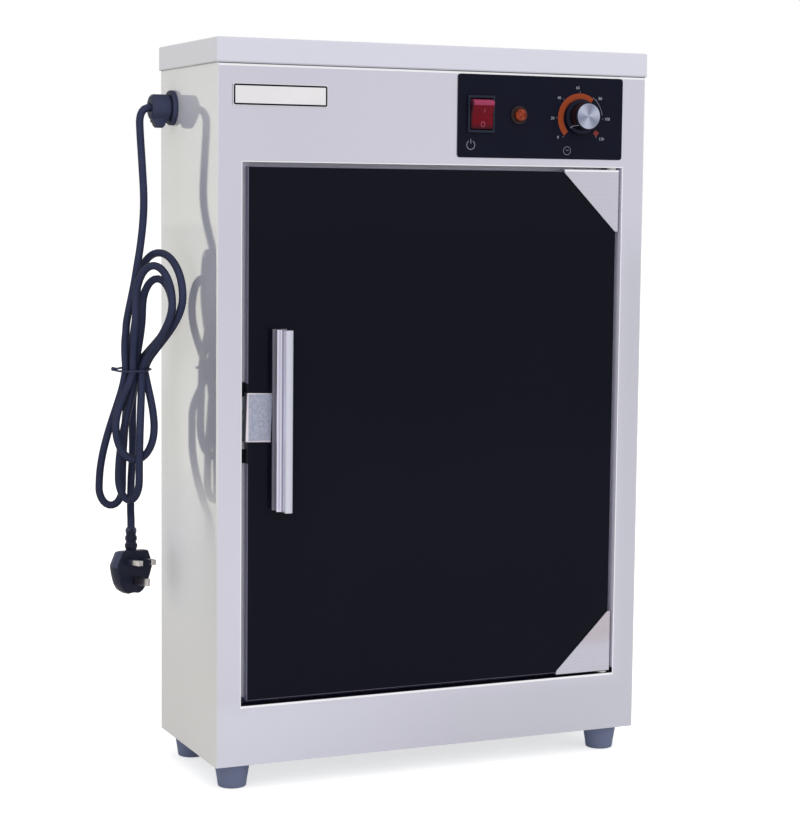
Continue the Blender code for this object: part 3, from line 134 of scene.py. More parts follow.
def finished(name, mesh, look, body, stands_for=(), sharp=35):
    """Weld a mesh, turn its faces outwards, smooth it up to an angle, and put it on its body."""
    built = bmesh.new()
    built.from_mesh(mesh)
    bmesh.ops.remove_doubles(built, verts=built.verts, dist=WELD)
    bmesh.ops.recalc_face_normals(built, faces=built.faces)
    built.to_mesh(mesh)
    built.free()
    mesh.shade_smooth()
    mesh.set_sharp_from_angle(angle=math.radians(sharp))
    return shown(name, mesh, look, body, stands_for)


def shown(name, mesh, look, body, stands_for):
    """An object with a mesh and a finish, on its body and in the place of CAD nodes."""
    made = added(name, mesh)
    mesh.materials.append(look)
    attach(made, body)
    if stands_for:
        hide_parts(*stands_for)
    return made


def ring_angles(count):
    """Evenly spaced angles round a full turn, in radians."""
    return np.linspace(0, 2 * math.pi, count, endpoint=False)


def spans(node):
    """A CAD node's lower and upper corner, and its middle."""
    low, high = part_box(node)
    return low, high, (low + high) / 2


print("helpers: added, piece, finished, shown, ring_angles, spans")

# %% [markdown]
# A tube follows a line. At each point of the line it needs two directions across the line. They
# can be carried from point to point, but then each depends on the one before. Here both come
# from one fixed direction that the line never runs along: crossed with the line's direction, it
# gives the first, and crossing once more gives the second.

# %% A tube along a line, and a smooth line through points
FINE_STEPS = 12


def tube(line, radius, around, aside):
    """Rings about a line: point = line + radius * (cos a * side + sin a * up), where side is the
    fixed direction crossed with the line's, and up is the line's crossed with side."""
    line = np.asarray(line, float)
    along = np.gradient(line, axis=0)
    along /= np.linalg.norm(along, axis=1, keepdims=True)
    side = np.cross(np.asarray(aside, float), along)
    side /= np.linalg.norm(side, axis=1, keepdims=True)
    up = np.cross(along, side)
    angle = ring_angles(around)[None, :, None]
    return line[:, None] + radius * (np.cos(angle) * side[:, None] + np.sin(angle) * up[:, None])


def smooth_line(points, step):
    """Evenly spaced points on a curve through all the points: between two of them it is the
    cubic whose slope at each end is half the way from the point before to the point after."""
    points = np.asarray(points, float)
    ends = np.concatenate([[2 * points[0] - points[1]], points, [2 * points[-1] - points[-2]]])
    share = np.linspace(0, 1, FINE_STEPS, endpoint=False)[None, :, None]
    before, start, end, after = (ends[place:len(ends) - 3 + place, None] for place in range(4))
    fine = 0.5 * (2 * start + (end - before) * share
                  + (2 * before - 5 * start + 4 * end - after) * share ** 2
                  + (3 * start - before - 3 * end + after) * share ** 3)
    fine = np.concatenate([fine.reshape(-1, 3), points[-1:]])
    travel = np.concatenate([[0], np.cumsum(np.linalg.norm(np.diff(fine, axis=0), axis=1))])
    wanted = np.linspace(0, travel[-1], int(travel[-1] / step) + 2)
    return np.stack([np.interp(wanted, travel, fine[:, axis]) for axis in range(3)], -1)


print("helpers: tube, smooth_line")

# %% [markdown]
# ## Shader maths as Python
# A finish in Blender is a tree of nodes. Wiring every Math node by hand hides what is worked
# out, so a small class wraps a socket, and ordinary operators add the Math nodes: a sum, a
# product, or with | the larger of two. Colours go through Mix nodes, because a Math node would
# turn them grey.

# %% A socket with operators, and a finish
class Signal:
    """An output socket of a node tree, on which arithmetic adds Math nodes."""

    def __init__(self, maker, socket):
        self.maker, self.socket = maker, socket

    def maths(self, operation, *others):
        """One Math node on this value and others, in their order."""
        return self.maker.node("ShaderNodeMath", {"operation": operation},
                               dict(enumerate((self, *others))))

    def __add__(self, other):
        return self.maths('ADD', other)

    def __sub__(self, other):
        return self.maths('SUBTRACT', other)

    def __rsub__(self, other):
        return self * -1.0 + other

    def __mul__(self, other):
        return self.maths('MULTIPLY', other)

    def __or__(self, other):
        """The larger of two values, which joins two shares."""
        return self.maths('MAXIMUM', other)

    def size(self):
        """The value without its sign."""
        return self.maths('ABSOLUTE')

    def step(self, low, high, below=0.0, above=1.0):
        """0 below low, 1 above high or as given, and a smooth change between."""
        return self.maker.node("ShaderNodeMapRange", {"interpolation_type": 'SMOOTHSTEP'},
                               {0: self, 1: low, 2: high, 3: below, 4: above})

    def until(self, low, high):
        """1 below low, 0 above high, and a smooth fall between."""
        return self.step(low, high, 1.0, 0.0)

    def band(self, low, full, last, high):
        """1 from full to last, and a smooth change to 0 at low and high."""
        return self.step(low, full) * self.until(last, high)

    __radd__, __rmul__ = __add__, __mul__


class Maker:
    """The maker of nodes in the tree of a material or a world."""

    def __init__(self, owner):
        owner.use_nodes = True
        self.tree = owner.node_tree

    def put(self, socket, value):
        """Link a signal to a socket, or set the socket's plain value."""
        if isinstance(value, Signal):
            self.tree.links.new(value.socket, socket)
        else:
            socket.default_value = value

    def node(self, kind, settings=None, sockets=None, output=0):
        """Any node: its settings first, then the values or links of its sockets."""
        made = self.tree.nodes.new(kind)
        for name, value in (settings or {}).items():
            setattr(made, name, value)
        for name, value in (sockets or {}).items():
            self.put(made.inputs[name], value)
        return Signal(self, made.outputs[output])

    def end(self, shader):
        """Let a shader be what the whole tree gives."""
        self.put(self.tree.get_output_node('ALL').inputs[0], shader)


class Finish(Maker):
    """A material in the making. Values for its shader's own sockets are given by name."""

    def __init__(self, name, **uniform):
        self.material = bpy.data.materials.new(name)
        super().__init__(self.material)
        self.shader = self.tree.nodes["Principled BSDF"]
        for socket, value in uniform.items():
            self.feed(socket.replace("_", " "), value)

    def feed(self, socket, value):
        """A varying or plain value for one of the shader's own sockets."""
        self.put(self.shader.inputs[socket], value)

    def coordinates(self, scale=(1, 1, 1), centre=(0, 0, 0)):
        """Object coordinates, moved so that a centre is the origin, and scaled."""
        moved = tuple(-value * factor for value, factor in zip(centre, scale))
        return self.node("ShaderNodeMapping", {"vector_type": 'POINT'},
                         {"Vector": self.node("ShaderNodeTexCoord", output=3),
                          "Location": moved, "Scale": scale})

    def parts(self, vector):
        """The x, y and z of a vector."""
        split = self.node("ShaderNodeSeparateXYZ", None, {0: vector})
        return [Signal(self, output) for output in split.socket.node.outputs]

    def noise(self, scale, detail=3.0):
        """Noise between 0 and 1, whose coordinates are scaled alike or each by its own factor."""
        scale = scale if isinstance(scale, tuple) else (scale,) * 3
        return self.node("ShaderNodeTexNoise", None,
                         {"Vector": self.coordinates(scale), "Scale": 1.0, "Detail": detail})

    def mixed(self, share, first, second, blend='MIX'):
        """A colour between two, by a share."""
        opaque = [value if isinstance(value, Signal) else (*value, 1) for value in (first, second)]
        return self.node("ShaderNodeMix", {"data_type": 'RGBA', "blend_type": blend},
                         {0: share, 6: opaque[0], 7: opaque[1]}, output=2)

    def laid(self, colour, *layers):
        """Colours laid over one another, each by its own share."""
        for share, over in layers:
            colour = self.mixed(share, colour, over)
        return colour

    def cover(self, colour, rough, grain=None, depth=0.0, strength=0.5):
        """The whole skin: its colour, its roughness and a bump from a grain if there is one."""
        self.feed("Base Color", colour)
        self.feed("Roughness", rough)
        if grain is not None:
            self.feed("Normal", self.node("ShaderNodeBump", None, {
                "Height": grain, "Distance": depth, "Strength": strength}))
        return self.material


def screen(red, green, blue):
    """The linear colour of a screen colour from 0 to 255."""
    share = np.array((red, green, blue)) / 255
    return tuple(float(value) for value in
                 np.where(share <= 0.04045, share / 12.92, ((share + 0.055) / 1.055) ** 2.4))


print("helpers: Signal, Maker, Finish, screen")

# %% [markdown]
# ## The mains lead
# A mains lead is a fixed length of round PVC flex. It comes straight out of its gland, hangs down
# beside the cabinet, is folded into a hank of three loops up and three down round a wire tie, and
# ends in its plug. A physics simulation would not give this hand-made hank, so its route is built
# from a rule: each loop fans out from its own place at the waist, turns over in half an ellipse
# and comes back to the next place. The numbers repeat the CAD route.

# %% The flex and its finish
CORD_DIAMETER = 0.0066
# A thin dark skin hides more of the colour where it is seen at a slant
SKIN = {"Coat_Weight": 1.0, "Coat_IOR": 1.05, "Coat_Tint": (0.6, 0.6, 0.6, 1)}
GLAND = np.array((-0.2, 0.04885, 0.574))
LEAD = GLAND + np.array((
    (-0.0143, 0.0, 0.0), (-0.0210, 0.0, 0.0), (-0.0268, 0.0, -0.0024), (-0.0298, -0.0002, -0.0090),
    (-0.0298, -0.0002, -0.0200), (-0.0281, -0.0004, -0.0480), (-0.0269, -0.0012, -0.0753),
    (-0.0284, -0.0042, -0.0960), (-0.0323, -0.0088, -0.1180), (-0.0361, -0.0113, -0.1360),
    (-0.0383, -0.00935, -0.1520)))
WAIST = GLAND + np.array((-0.036, 0.0, -0.225))
HANK_TURN = np.array(Matrix.Rotation(math.radians(-23.93), 3, 'Z'))
LOOP_TURN = -0.8645
FAN_POWER = 0.8
RUN_STEPS, ARC_STEPS, CORD_STEP = 7, 10, 0.003
ENTRY = ((-0.0047, -0.0050, 0.0440), (-0.0059, -0.0041, 0.0330), (-0.0069, -0.0033, 0.0230),
         (-0.0069, -0.0030, 0.0120))
LEAVING = ((0.0014, 0.0086, -0.0080), (-0.0008, 0.0140, -0.0160), (-0.0032, 0.0225, -0.0255),
           (-0.0044, 0.0285, -0.0340), (-0.0048, 0.0313, -0.0420), (-0.0049, 0.0318, -0.0540),
           (-0.0048, 0.0312, -0.0760), (-0.0055, 0.0262, -0.1000), (-0.0047, 0.0160, -0.1220))
PLUG_FOOT = (-0.0034, 0.0080, -0.1970)
STRANDS = np.array(((-0.0064, -0.0030), (-0.0046, 0.0042), (0.0096, 0.0032), (0.0004, -0.0078),
                    (0.0079, -0.0051), (0.0018, -0.0005), (0.0020, 0.0080)))
# Each loop: up or down, middle across, height, half width, rise, side, and how far its runs stand
LOOPS = ((-1, -0.0227, 0.106, 0.0102, 0.0155, -1, -0.0082, 0.0089),
         (1, 0.025, 0.066, 0.0227, 0.0354, -1, 0.0104, -0.0085),
         (-1, 0.0018, 0.050, 0.0166, 0.028, 1, 0.0113, -0.0175),
         (1, 0.022, 0.060, 0.017, 0.031, -1, -0.0173, -0.0175),
         (-1, -0.0038, 0.095, 0.0102, 0.0185, 1, -0.0073, -0.0056),
         (1, 0.022, 0.053, 0.013, 0.026, -1, -0.0019, 0.0186))
PLUG_HEIGHT, RELIEF_LENGTH, IN_PLUG = 0.038, 0.020, 0.004


def in_hank(points):
    """World places of points given across, along and up in the hank's own turned frame."""
    return WAIST + np.asarray(points, float) @ HANK_TURN.T


def loop_route(loop, start, end):
    """A loop as three stretches. A run blends from its place at the waist to the loop's side by a
    smoothed share of its height; the arc is half an ellipse, cos across and sin up."""
    way, middle, height, half_width, rise, side, stand_out, stand_back = loop
    share = np.arange(RUN_STEPS)[:, None] / RUN_STEPS
    fan = share ** FAN_POWER
    fan = fan * fan * (3 - 2 * fan)

    def run(strand, edge, stand):
        far = np.array((edge, LOOP_TURN * edge + stand))
        return np.hstack([strand + (far - strand) * fan, way * height * share])

    turn = np.linspace(0, math.pi, ARC_STEPS)
    across = middle + side * half_width * np.cos(turn)
    stand = (stand_out + stand_back) / 2 + (stand_out - stand_back) / 2 * np.cos(turn)
    arc = np.stack([across, LOOP_TURN * across + stand, way * (height + rise * np.sin(turn))], -1)
    out = run(start, middle + side * half_width, stand_out)
    back = run(end, middle - side * half_width, stand_back)[::-1]
    return np.concatenate([out, arc, back])


loops = [loop_route(loop, STRANDS[place], STRANDS[place + 1])[1 if place else 0:]
         for place, loop in enumerate(LOOPS)]
plug_foot = in_hank([PLUG_FOOT])[0]
plug_top = plug_foot + (0, 0, PLUG_HEIGHT + RELIEF_LENGTH)
route = np.concatenate([LEAD, in_hank(np.concatenate([ENTRY, *loops, LEAVING])),
                        [plug_top + (0, 0, CORD_DIAMETER), plug_top - (0, 0, IN_PLUG)]])
cord_line = smooth_line(route, CORD_STEP)

flex = Finish("cord_rubber", Specular_IOR_Level=0.12, **SKIN)
grain = flex.noise(900, detail=2.0)
# The loops hang darker than the lead, which is nearer the light
dark = flex.parts(flex.coordinates())[2].until(0.22, 0.34) * 0.3
colour = flex.mixed(flex.noise(40), screen(59, 66, 97), screen(80, 86, 122))
flex.cover(flex.mixed(dark, colour, (0, 0, 0)), grain * 0.12 + 0.40, grain, 0.00005)

LOOP_SIDE = HANK_TURN @ (-LOOP_TURN, 1.0, 0.0)
cord = piece("mains_cord", [tube(cord_line, CORD_DIAMETER / 2, 16, LOOP_SIDE)], flex.material,
             "cabinet", ("cord_lead", "cord_hank", "cord_tail"))

# %% [markdown]
# ## Rounding a CAD piece
# Folded sheet and machined blocks have no knife-sharp edges: every real edge catches a thin line
# of light. A CAD node may not be changed, so a copy is made. Its loose triangles are merged and
# the flat ones joined, and a Bevel modifier rounds every edge that is sharper than 30 degrees.

# %% Copies with rounded edges
SHARP, FLAT = math.radians(30), math.radians(0.6)


def merged(node):
    """A bmesh of a CAD node with shared points made one and flat neighbours joined."""
    mesh = nodes[node].data
    points = np.empty(len(mesh.vertices) * 3)
    mesh.vertices.foreach_get("co", points)
    corners = np.empty(len(mesh.loops), int)
    mesh.loops.foreach_get("vertex_index", corners)
    places, index = np.unique(np.round(points.reshape(-1, 3), 6), axis=0, return_inverse=True)
    copy = bpy.data.meshes.new(node + "_copy")
    copy.from_pydata(places.tolist(), [], index.reshape(-1)[corners].reshape(-1, 3).tolist())
    built = bmesh.new()
    built.from_mesh(copy)
    bpy.data.meshes.remove(copy)
    bmesh.ops.remove_doubles(built, verts=built.verts, dist=2 * WELD)
    bmesh.ops.dissolve_degenerate(built, edges=built.edges, dist=WELD)
    bmesh.ops.dissolve_limit(built, angle_limit=FLAT, verts=built.verts, edges=built.edges)
    return built


def softened(node, width, look, segments=2, shares=None):
    """A copy of a CAD node whose edges are rounded to a width, or to a share of it by place."""
    built = merged(node)
    built.edges.ensure_lookup_table()
    sharp = np.array([edge.calc_face_angle(0.0) > SHARP for edge in built.edges])
    middles = np.array([(edge.verts[0].co + edge.verts[1].co) / 2 for edge in built.edges])
    weight = sharp * (1.0 if shares is None else shares(middles))
    mesh = bpy.data.meshes.new(node + "_dressed")
    built.to_mesh(mesh)
    built.free()
    mesh.attributes.new("bevel_weight_edge", 'FLOAT', 'EDGE').data.foreach_set(
        "value", weight.astype(np.float32))
    mesh.shade_smooth()
    mesh.set_sharp_from_angle(angle=SHARP)
    made = shown(node + "_dressed", mesh, look, nodes[node]["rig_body"], (node,))
    rounding = made.modifiers.new("rounding", 'BEVEL')
    rounding.limit_method, rounding.width, rounding.segments = 'WEIGHT', width, segments
    # Large faces stay flat in their shading, and only the small ones between them turn it
    shading = made.modifiers.new("shading", 'WEIGHTED_NORMAL')
    shading.weight, shading.keep_sharp = 100, True
    return made


def dress(look, *names):
    """Give CAD nodes whose shape stays a finish, on their objects' own material slots."""
    for name in names:
        for place in nodes[name].material_slots:
            place.link = 'OBJECT'
            place.material = look


print("helpers: merged, softened, dress")

# %% [markdown]
# ## Floor, sky and lamps
# The floor is a plain pale sheet. The camera, reflections and clear materials see it and the sky
# as white, which the Light Path node tells apart, while the light that reaches the object stays
# at a plain level. The floor keeps its own shading under a glow, so it keeps the shadow, and
# the glow is stronger for the camera than for reflections, so that steel isn't lit too brightly.

# %% Floor, sky and lamps
AMBIENT, GLOW, FLOOR_HALF = 0.76, 0.28, 30.0


def ray_shares(made):
    """1 for camera rays, else 0; and 1 for camera, glossy and transmission rays, else 0."""
    path = made.node("ShaderNodeLightPath").socket.node
    camera, glossy, through = (Signal(made, path.outputs["Is %s Ray" % kind])
                               for kind in ("Camera", "Glossy", "Transmission"))
    return camera, camera | glossy | through


sky = bpy.data.worlds.new("sky")
above = Maker(sky)
dim, white = (above.node("ShaderNodeBackground", None, {"Color": (1, 1, 1, 1), "Strength": power})
              for power in (AMBIENT, 1.0))
above.end(above.node("ShaderNodeMixShader", None, {0: ray_shares(above)[1], 1: dim, 2: white}))
bpy.context.scene.world = sky

paper = Finish("floor_paper", Base_Color=(0.78, 0.78, 0.78, 1), Roughness=0.9,
               Specular_IOR_Level=0.0)
camera_share, seen = ray_shares(paper)
surface = Signal(paper, paper.shader.outputs[0])
glow = paper.node("ShaderNodeEmission", None, {"Strength": camera_share * GLOW + GLOW})
both = paper.node("ShaderNodeAddShader", None, {0: surface, 1: glow})
paper.end(paper.node("ShaderNodeMixShader", None, {0: seen, 1: surface, 2: both}))

mesh = bpy.data.meshes.new("floor")
mesh.from_pydata([(FLOOR_HALF * x, FLOOR_HALF * y, 0)
                  for x, y in ((-1, -1), (1, -1), (1, 1), (-1, 1))], [], [(0, 1, 2, 3)])
mesh.materials.append(paper.material)
added("floor", mesh)

AIM = Vector((0, 0, 0.33))
LAMPS = (("key", (-0.9, -2.5, 1.8), 2.0, 14), ("fill", (1.7, -1.5, 1.3), 1.5, 5),
         ("top", (0.1, -0.5, 2.4), 1.4, 8))
for name, place, size, power in LAMPS:
    lamp = bpy.data.lights.new(name, 'AREA')
    lamp.size, lamp.energy = size, power
    holder = added(name, lamp)
    holder.location = place
    holder.rotation_euler = (AIM - holder.location).to_track_quat('-Z', 'Y').to_euler()
    # Reflections already see a white sky, so the lamps stay out of them
    holder.visible_glossy = False
bpy.context.scene.view_settings.view_transform = 'Standard'
print("sky, floor and %d lamps" % len(LAMPS))

# %% [markdown]
# ## Satin steel
# The cabinet is stainless sheet with a satin finish under a clear film: a fine grain runs up the
# sheet, and the flex and the gland show in the side as pale reflections. A mirror material would
# be too sharp and dark and a plain grey one dead. So the metal shader gets a colour, a roughness
# that follows the grain and a very small bump, and part of the light scatters as in the film,
# which a metallic share below 1 gives. The front is cooler and duller, the side warmer and
# smoother. Painted shade draws a thin dark line on the sheet under the lid's edge, the folds get
# painted highlights, and painted light and painted reflections even out the side and the front.

# %% Steel finishes
def steel(name, grain_scale, grain_depth, drift, paint, **uniform):
    """Rolled steel: paint gives the colour, metallic share and roughness at x, y and z, and a
    slow drift and a fine grain are laid over them."""
    made = Finish(name, **uniform)
    grain = made.noise(grain_scale, detail=2.0)
    slow = made.noise((5, 5, 3), detail=1.0)
    colour, metallic, rough = paint(made, *made.parts(made.coordinates()))
    made.feed("Metallic", metallic)
    colour = made.mixed(slow * drift, colour, (0, 0, 0))
    return made.cover(made.mixed(grain * 0.12, colour, (0.7, 0.7, 0.72), 'MULTIPLY'),
                      grain * 0.08 + slow * 0.04 + rough - 0.06, grain, grain_depth, 0.3)


def plain(colour, metallic, rough):
    """A paint that is the same everywhere."""
    return lambda made, x, y, z: (screen(*colour), metallic, rough)


UPRIGHT_GRAIN = (1500, 1500, 25)
COOL, FILM = screen(207, 206, 222), screen(196, 198, 212)
# Colours of painted shade and of painted highlights
PAINTED_SHADE, PAINTED_HIGHLIGHT = screen(84, 80, 96), screen(250, 250, 255)
LID_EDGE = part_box("top_cover")[0].z
shell_low, shell_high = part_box("outer_shell")
glass_low, glass_high, glass_middle = spans("door_glass")
# The door opening's half width, and the heights of its lower and upper edge
OPENING, SILL, LINTEL = 0.178, 0.073, 0.5272
WARM_MIRROR = {"IOR": 5.2, "Specular_Tint": (1.0, 0.985, 0.86, 1)}


def shell_paint(made, x, y, z):
    """Warm and smooth on the sides, cool and duller on the front; painted shadow just under the
    lid, and painted highlights on the bend below that and on the bends round the opening."""
    beside = x.size().step(shell_high.x - 0.0018, shell_high.x - 0.0002)
    inward = y.step(shell_low.y + 0.0003, shell_low.y + 0.0010)
    # The sides are smooth down to the loops of the lead. There rubbed specks grow into a dull
    # part, and some more specks lie near the top, round the gland
    specks = made.noise(3000) - 0.5
    worn = (z + specks * 0.3).until(0.240, 0.250) + (z + specks * 0.9).step(0.600, 0.610)
    # On the left, where the lead takes light away, painted light makes the film palest half way
    # down, and painted shade darkens it towards the front, so it is palest behind. The film is also
    # paler near the top and darker towards the bottom.
    left = x.until(-0.01, 0.01)
    near = y.until(-0.09, 0.05) * z.band(0.06, 0.20, 0.34, 0.50) * left
    film_and_painted_light = made.laid(FILM, (z.step(0.46, 0.60), screen(206, 208, 222)),
                     (z.until(0.40, 0.51) * left, screen(234, 235, 248)),
                     (z.until(0.08, 0.22), screen(196, 195, 203)), (near * 0.38, (0, 0, 0)))
    # Painted reflections: the front is darker down the right side and to the right along the
    # bottom, and lighter to the left along the bottom
    rail = z.until(0.06, 0.08)
    front_painted_reflection = x.step(0.170, 0.190) * z.until(0.42, 0.50) | rail * x.step(-0.10, 0.15)
    front = made.laid(COOL, (front_painted_reflection, screen(196, 196, 210)),
                      (rail * x.until(-0.20, 0.02), screen(214, 214, 230)))
    # Painted shadow in a thin dark line just under the lid's edge, and painted highlights on the
    # bend below it and on the folds round the opening
    under = z.step(LID_EDGE - 0.0009, LID_EDGE - 0.0006)
    bend = z.step(LID_EDGE - 0.0026, LID_EDGE - 0.0022) * (1 - beside)
    outside = x.size() - OPENING | z - LINTEL
    beneath = SILL - z
    painted_fold_highlight = ((outside | beneath).until(0.0004, 0.0011)
            | beneath.until(0.0016, 0.0021) * outside.until(0.0004, 0.0008))
    painted_fold_highlight = painted_fold_highlight * y.until(shell_low.y + 0.0010, shell_low.y + 0.0016)
    return (made.laid(front, (beside, film_and_painted_light), (bend | painted_fold_highlight, PAINTED_HIGHLIGHT), (under, PAINTED_SHADE)),
            (1 - beside) * (1 - inward) * 0.8, 0.34 - beside * (0.29 - worn * 0.75))


def lip_paint(made, x, y, z):
    """Pale, but dark where it is deep in shadow below the door."""
    shadow = z.until(glass_low.z + 0.0002, glass_low.z + 0.0020)
    colour = made.mixed(shadow, screen(240, 238, 252), screen(58, 56, 80))
    return colour, shadow * 0.9 + 0.1, 0.4


def lid_paint(made, x, y, z):
    """Warm on the sides and cool on the front, with painted shade in a darker line along the lower
    edge.
    """
    beside = x.size().step(0.1996, 0.2009)
    low = z.until(LID_EDGE + 0.0006, LID_EDGE + 0.0016)
    colour = made.laid(screen(219, 220, 233), (beside, FILM), (low * 0.35, PAINTED_SHADE))
    return colour, (1 - beside) * 0.8, 0.34 - beside * 0.17


def shoe_paint(made, x, y, z):
    """Cool, warmer half way up the lower shoe, with a painted highlight on the bend along the outer
    edge.
    """
    low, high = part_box("hinge_shoe_bottom")[1].z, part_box("hinge_shoe_top")[1].z
    warm = z.band(low - 0.034, low - 0.020, low, low + 0.1)
    bend = z.step(high - 0.0020, high - 0.0016)
    return made.laid(screen(199, 198, 210), (warm, screen(193, 185, 193)), (bend, PAINTED_HIGHLIGHT)), 0.6, 0.28


handle_low, handle_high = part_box("handle")


def handle_paint(made, x, y, z):
    """By the distance out from the glass: dull, with painted shade, on the flange that is stuck to
    it, deep between the step and the glass; a painted highlight on the step; painted shade and then
    a painted highlight on the blade's side; and painted shade to the right on the blade's front."""
    out = handle_high.y - y
    # Painted shade on the flange, painted shade and painted highlights on the step and the blade
    flange = out.until(0.0035, 0.0050)
    dim = out.band(0.0128, 0.0142, 0.0160, 0.0180)
    painted_highlight = out.band(0.0116, 0.0124, 0.0128, 0.0136) + out.band(0.0165, 0.0185, 0.0216, 0.0224)
    right = (x - handle_low.x).step(0.0060, 0.0108) * out.step(0.0225, 0.0230)
    colour = made.laid(screen(212, 213, 227), (dim, screen(158, 156, 174)),
                       (painted_highlight, screen(232, 229, 245)), (right, screen(190, 193, 206)),
                       (flange, screen(126, 122, 136)))
    return colour, 0.7 - flange * 0.5, 0.3


clip_low, clip_high, clip_middle = spans("strike_clip")


def clip_paint(made, x, y, z):
    """Dull and mottled, with painted highlights on the cut edges at the left, the top and the
    bottom, and painted shade on the side of its leg.
    """
    mottle = made.noise(420, detail=2.0).step(0.3, 0.7)
    edge = (x.until(clip_low.x + 0.0012, clip_low.x + 0.0022)
            | z.until(clip_low.z + 0.0008, clip_low.z + 0.0014)
            | z.step(clip_high.z - 0.0010, clip_high.z - 0.0005))
    painted_leg_shade = y.step(clip_low.y + 0.0012, clip_low.y + 0.0020)
    colour = made.laid(screen(160, 165, 184), (mottle, screen(180, 184, 201)),
                       (edge, screen(236, 228, 234)), (painted_leg_shade, screen(88, 90, 112)))
    return colour, 0.5, 0.42


shell_steel = steel("satin_steel", UPRIGHT_GRAIN, 0.00001, 0.10, shell_paint, **WARM_MIRROR)
lip_steel = steel("lip_steel", UPRIGHT_GRAIN, 0.00001, 0.10, lip_paint)
lid_steel = steel("lid_steel", (25, 1500, 1500), 0.00001, 0.06, lid_paint, IOR=3.4,
                  Specular_Tint=(1.0, 0.98, 0.90, 1))
shoe_steel = steel("shoe_steel", (25, 900, 900), 0.000002, 0.05, shoe_paint)
handle_steel = steel("handle_steel", UPRIGHT_GRAIN, 0.000004, 0.06, handle_paint)
bright_steel = steel("bright_steel", UPRIGHT_GRAIN, 0.000005, 0.06,
                     plain((205, 203, 214), 0.9, 0.24))
clip_steel = steel("clip_steel", 900, 0.00002, 0.06, clip_paint)
chamber_steel = steel("chamber_steel", (25, 1200, 1200), 0.00001, 0.08,
                      plain((200, 201, 206), 0.9, 0.26))
print("eight steels")

# %% [markdown]
# ## Plated steel, plastics, rubber and the rest
# The hidden sheet is zinc plated, with its large pale crystals. Plastics have a fine moulded
# skin, rubber is matt with a little dust, and brass is drawn. Each has its own small detail, so
# one function builds the moulded ones from a colour, a gloss and the size of the skin's grain.

# %% Other finishes
def moulded(name, colour, roughness, grain_size=0.0012, depth=0.00004, gloss=0.35, **uniform):
    """A moulded skin: a slow drift of colour, a grain in the roughness and a fine bump."""
    made = Finish(name, Specular_IOR_Level=gloss, **uniform)
    grain = made.noise(1 / grain_size, detail=2.0)
    slow = made.noise(30, detail=2.0)
    colour = screen(*colour)
    lighter = tuple(min(1.0, value * 1.12 + 0.002) for value in colour)
    return made.cover(made.mixed(slow, colour, lighter),
                      grain * 0.10 + slow * 0.06 + (roughness - 0.08), grain, depth)


def zinc_plate():
    """Zinc plating: cells of slightly different brightness, as its crystals have."""
    made = Finish("zinc_plate", Metallic=1.0)
    cells = made.node("ShaderNodeTexVoronoi", {"feature": 'F1'},
                      {"Vector": made.coordinates((140, 140, 140)), "Scale": 1.0}, output=1)
    tone = made.parts(cells)[0]
    grain = made.noise(700)
    return made.cover(made.mixed(tone, screen(176, 179, 186), screen(206, 208, 214)),
                      tone * 0.12 + grain * 0.08 + 0.33, grain, 0.00003, 0.4)


zinc = zinc_plate()
black_plastic = moulded("black_plastic", (22, 24, 34), 0.42, gloss=0.15)
gland_plastic = moulded("gland_plastic", (78, 84, 116), 0.42, gloss=0.15, **SKIN)
knob_plastic = moulded("knob_plastic", (11, 12, 20), 0.2, grain_size=0.003, depth=0.00001,
                       gloss=0.25, Specular_Tint=(0.5, 0.52, 1.0, 1))
plug_plastic = moulded("plug_plastic", (34, 37, 55), 0.34, gloss=0.3)
rubber = moulded("foot_rubber", (108, 116, 143), 0.62, depth=0.00008, gloss=0.2)
nylon = moulded("nylon", (204, 202, 200), 0.5)
holder_plastic = moulded("holder_plastic", (226, 226, 222), 0.4)
print("finishes of plate, plastic and rubber")

# %% [markdown]
# ## The cabinet
# The front and both sides are one bent sheet, with the door opening's edges folded inwards, and a
# lid is pressed over the top. The folds at the opening have a clear radius, which draws the
# bright lines round the door; every cut edge has only a trace of one. So the copies of the CAD
# sheets are rounded by place: wide on the opening's front edge, narrow elsewhere.

# %% Shell, lid, tray and back
FOLD, TRACE, NEARLY = 0.0012, 0.2, 0.0003
# Half the width and the heights between which the shell's faces lie behind the door
INNER_HALF, INNER_LOW, INNER_HIGH = 0.1905, 0.05, 0.54


def at_opening(middles):
    """1 on the edges round the opening's front, and a small share elsewhere."""
    x, y, z = np.abs(middles[:, 0]), middles[:, 1], middles[:, 2]
    front = y < shell_low.y + 0.0002
    beside = (np.abs(x - OPENING) < NEARLY) & (z > SILL - 0.001) & (z < LINTEL + 0.001)
    across = (np.abs(z - SILL) < NEARLY) | (np.abs(z - LINTEL) < NEARLY)
    return np.where(front & (beside | across & (x < OPENING)), 1.0, TRACE)


shell = softened("outer_shell", FOLD, shell_steel, shares=at_opening)
# The returns and the stop lip behind the door have no film, so their faces get a duller finish
shell.data.materials.append(lip_steel)
middles = np.empty(len(shell.data.polygons) * 3)
shell.data.polygons.foreach_get("center", middles)
x, y, z = np.abs(middles[0::3]), middles[1::3], middles[2::3]
behind = (x < INNER_HALF) & (y > shell_low.y + 0.0014) & (z > INNER_LOW) & (z < INNER_HIGH)
shell.data.polygons.foreach_set("material_index", behind.astype(np.int32))
shell.modifiers["rounding"].material = 0
softened("top_cover", 0.0003, lid_steel)
softened("base_pan", 0.0003, zinc)
softened("back_panel", 0.0002, zinc)
print("cabinet: shell, lid, tray and back")

# %% [markdown]
# ## The rubber feet
# Each foot is a short cone of slate grey rubber with a soft rim, screwed on from inside the tray.
# Turning a profile round an axis suits it. The profile's corners are eased first: a short curve
# leaves one side just before the corner and joins the next one just after it.

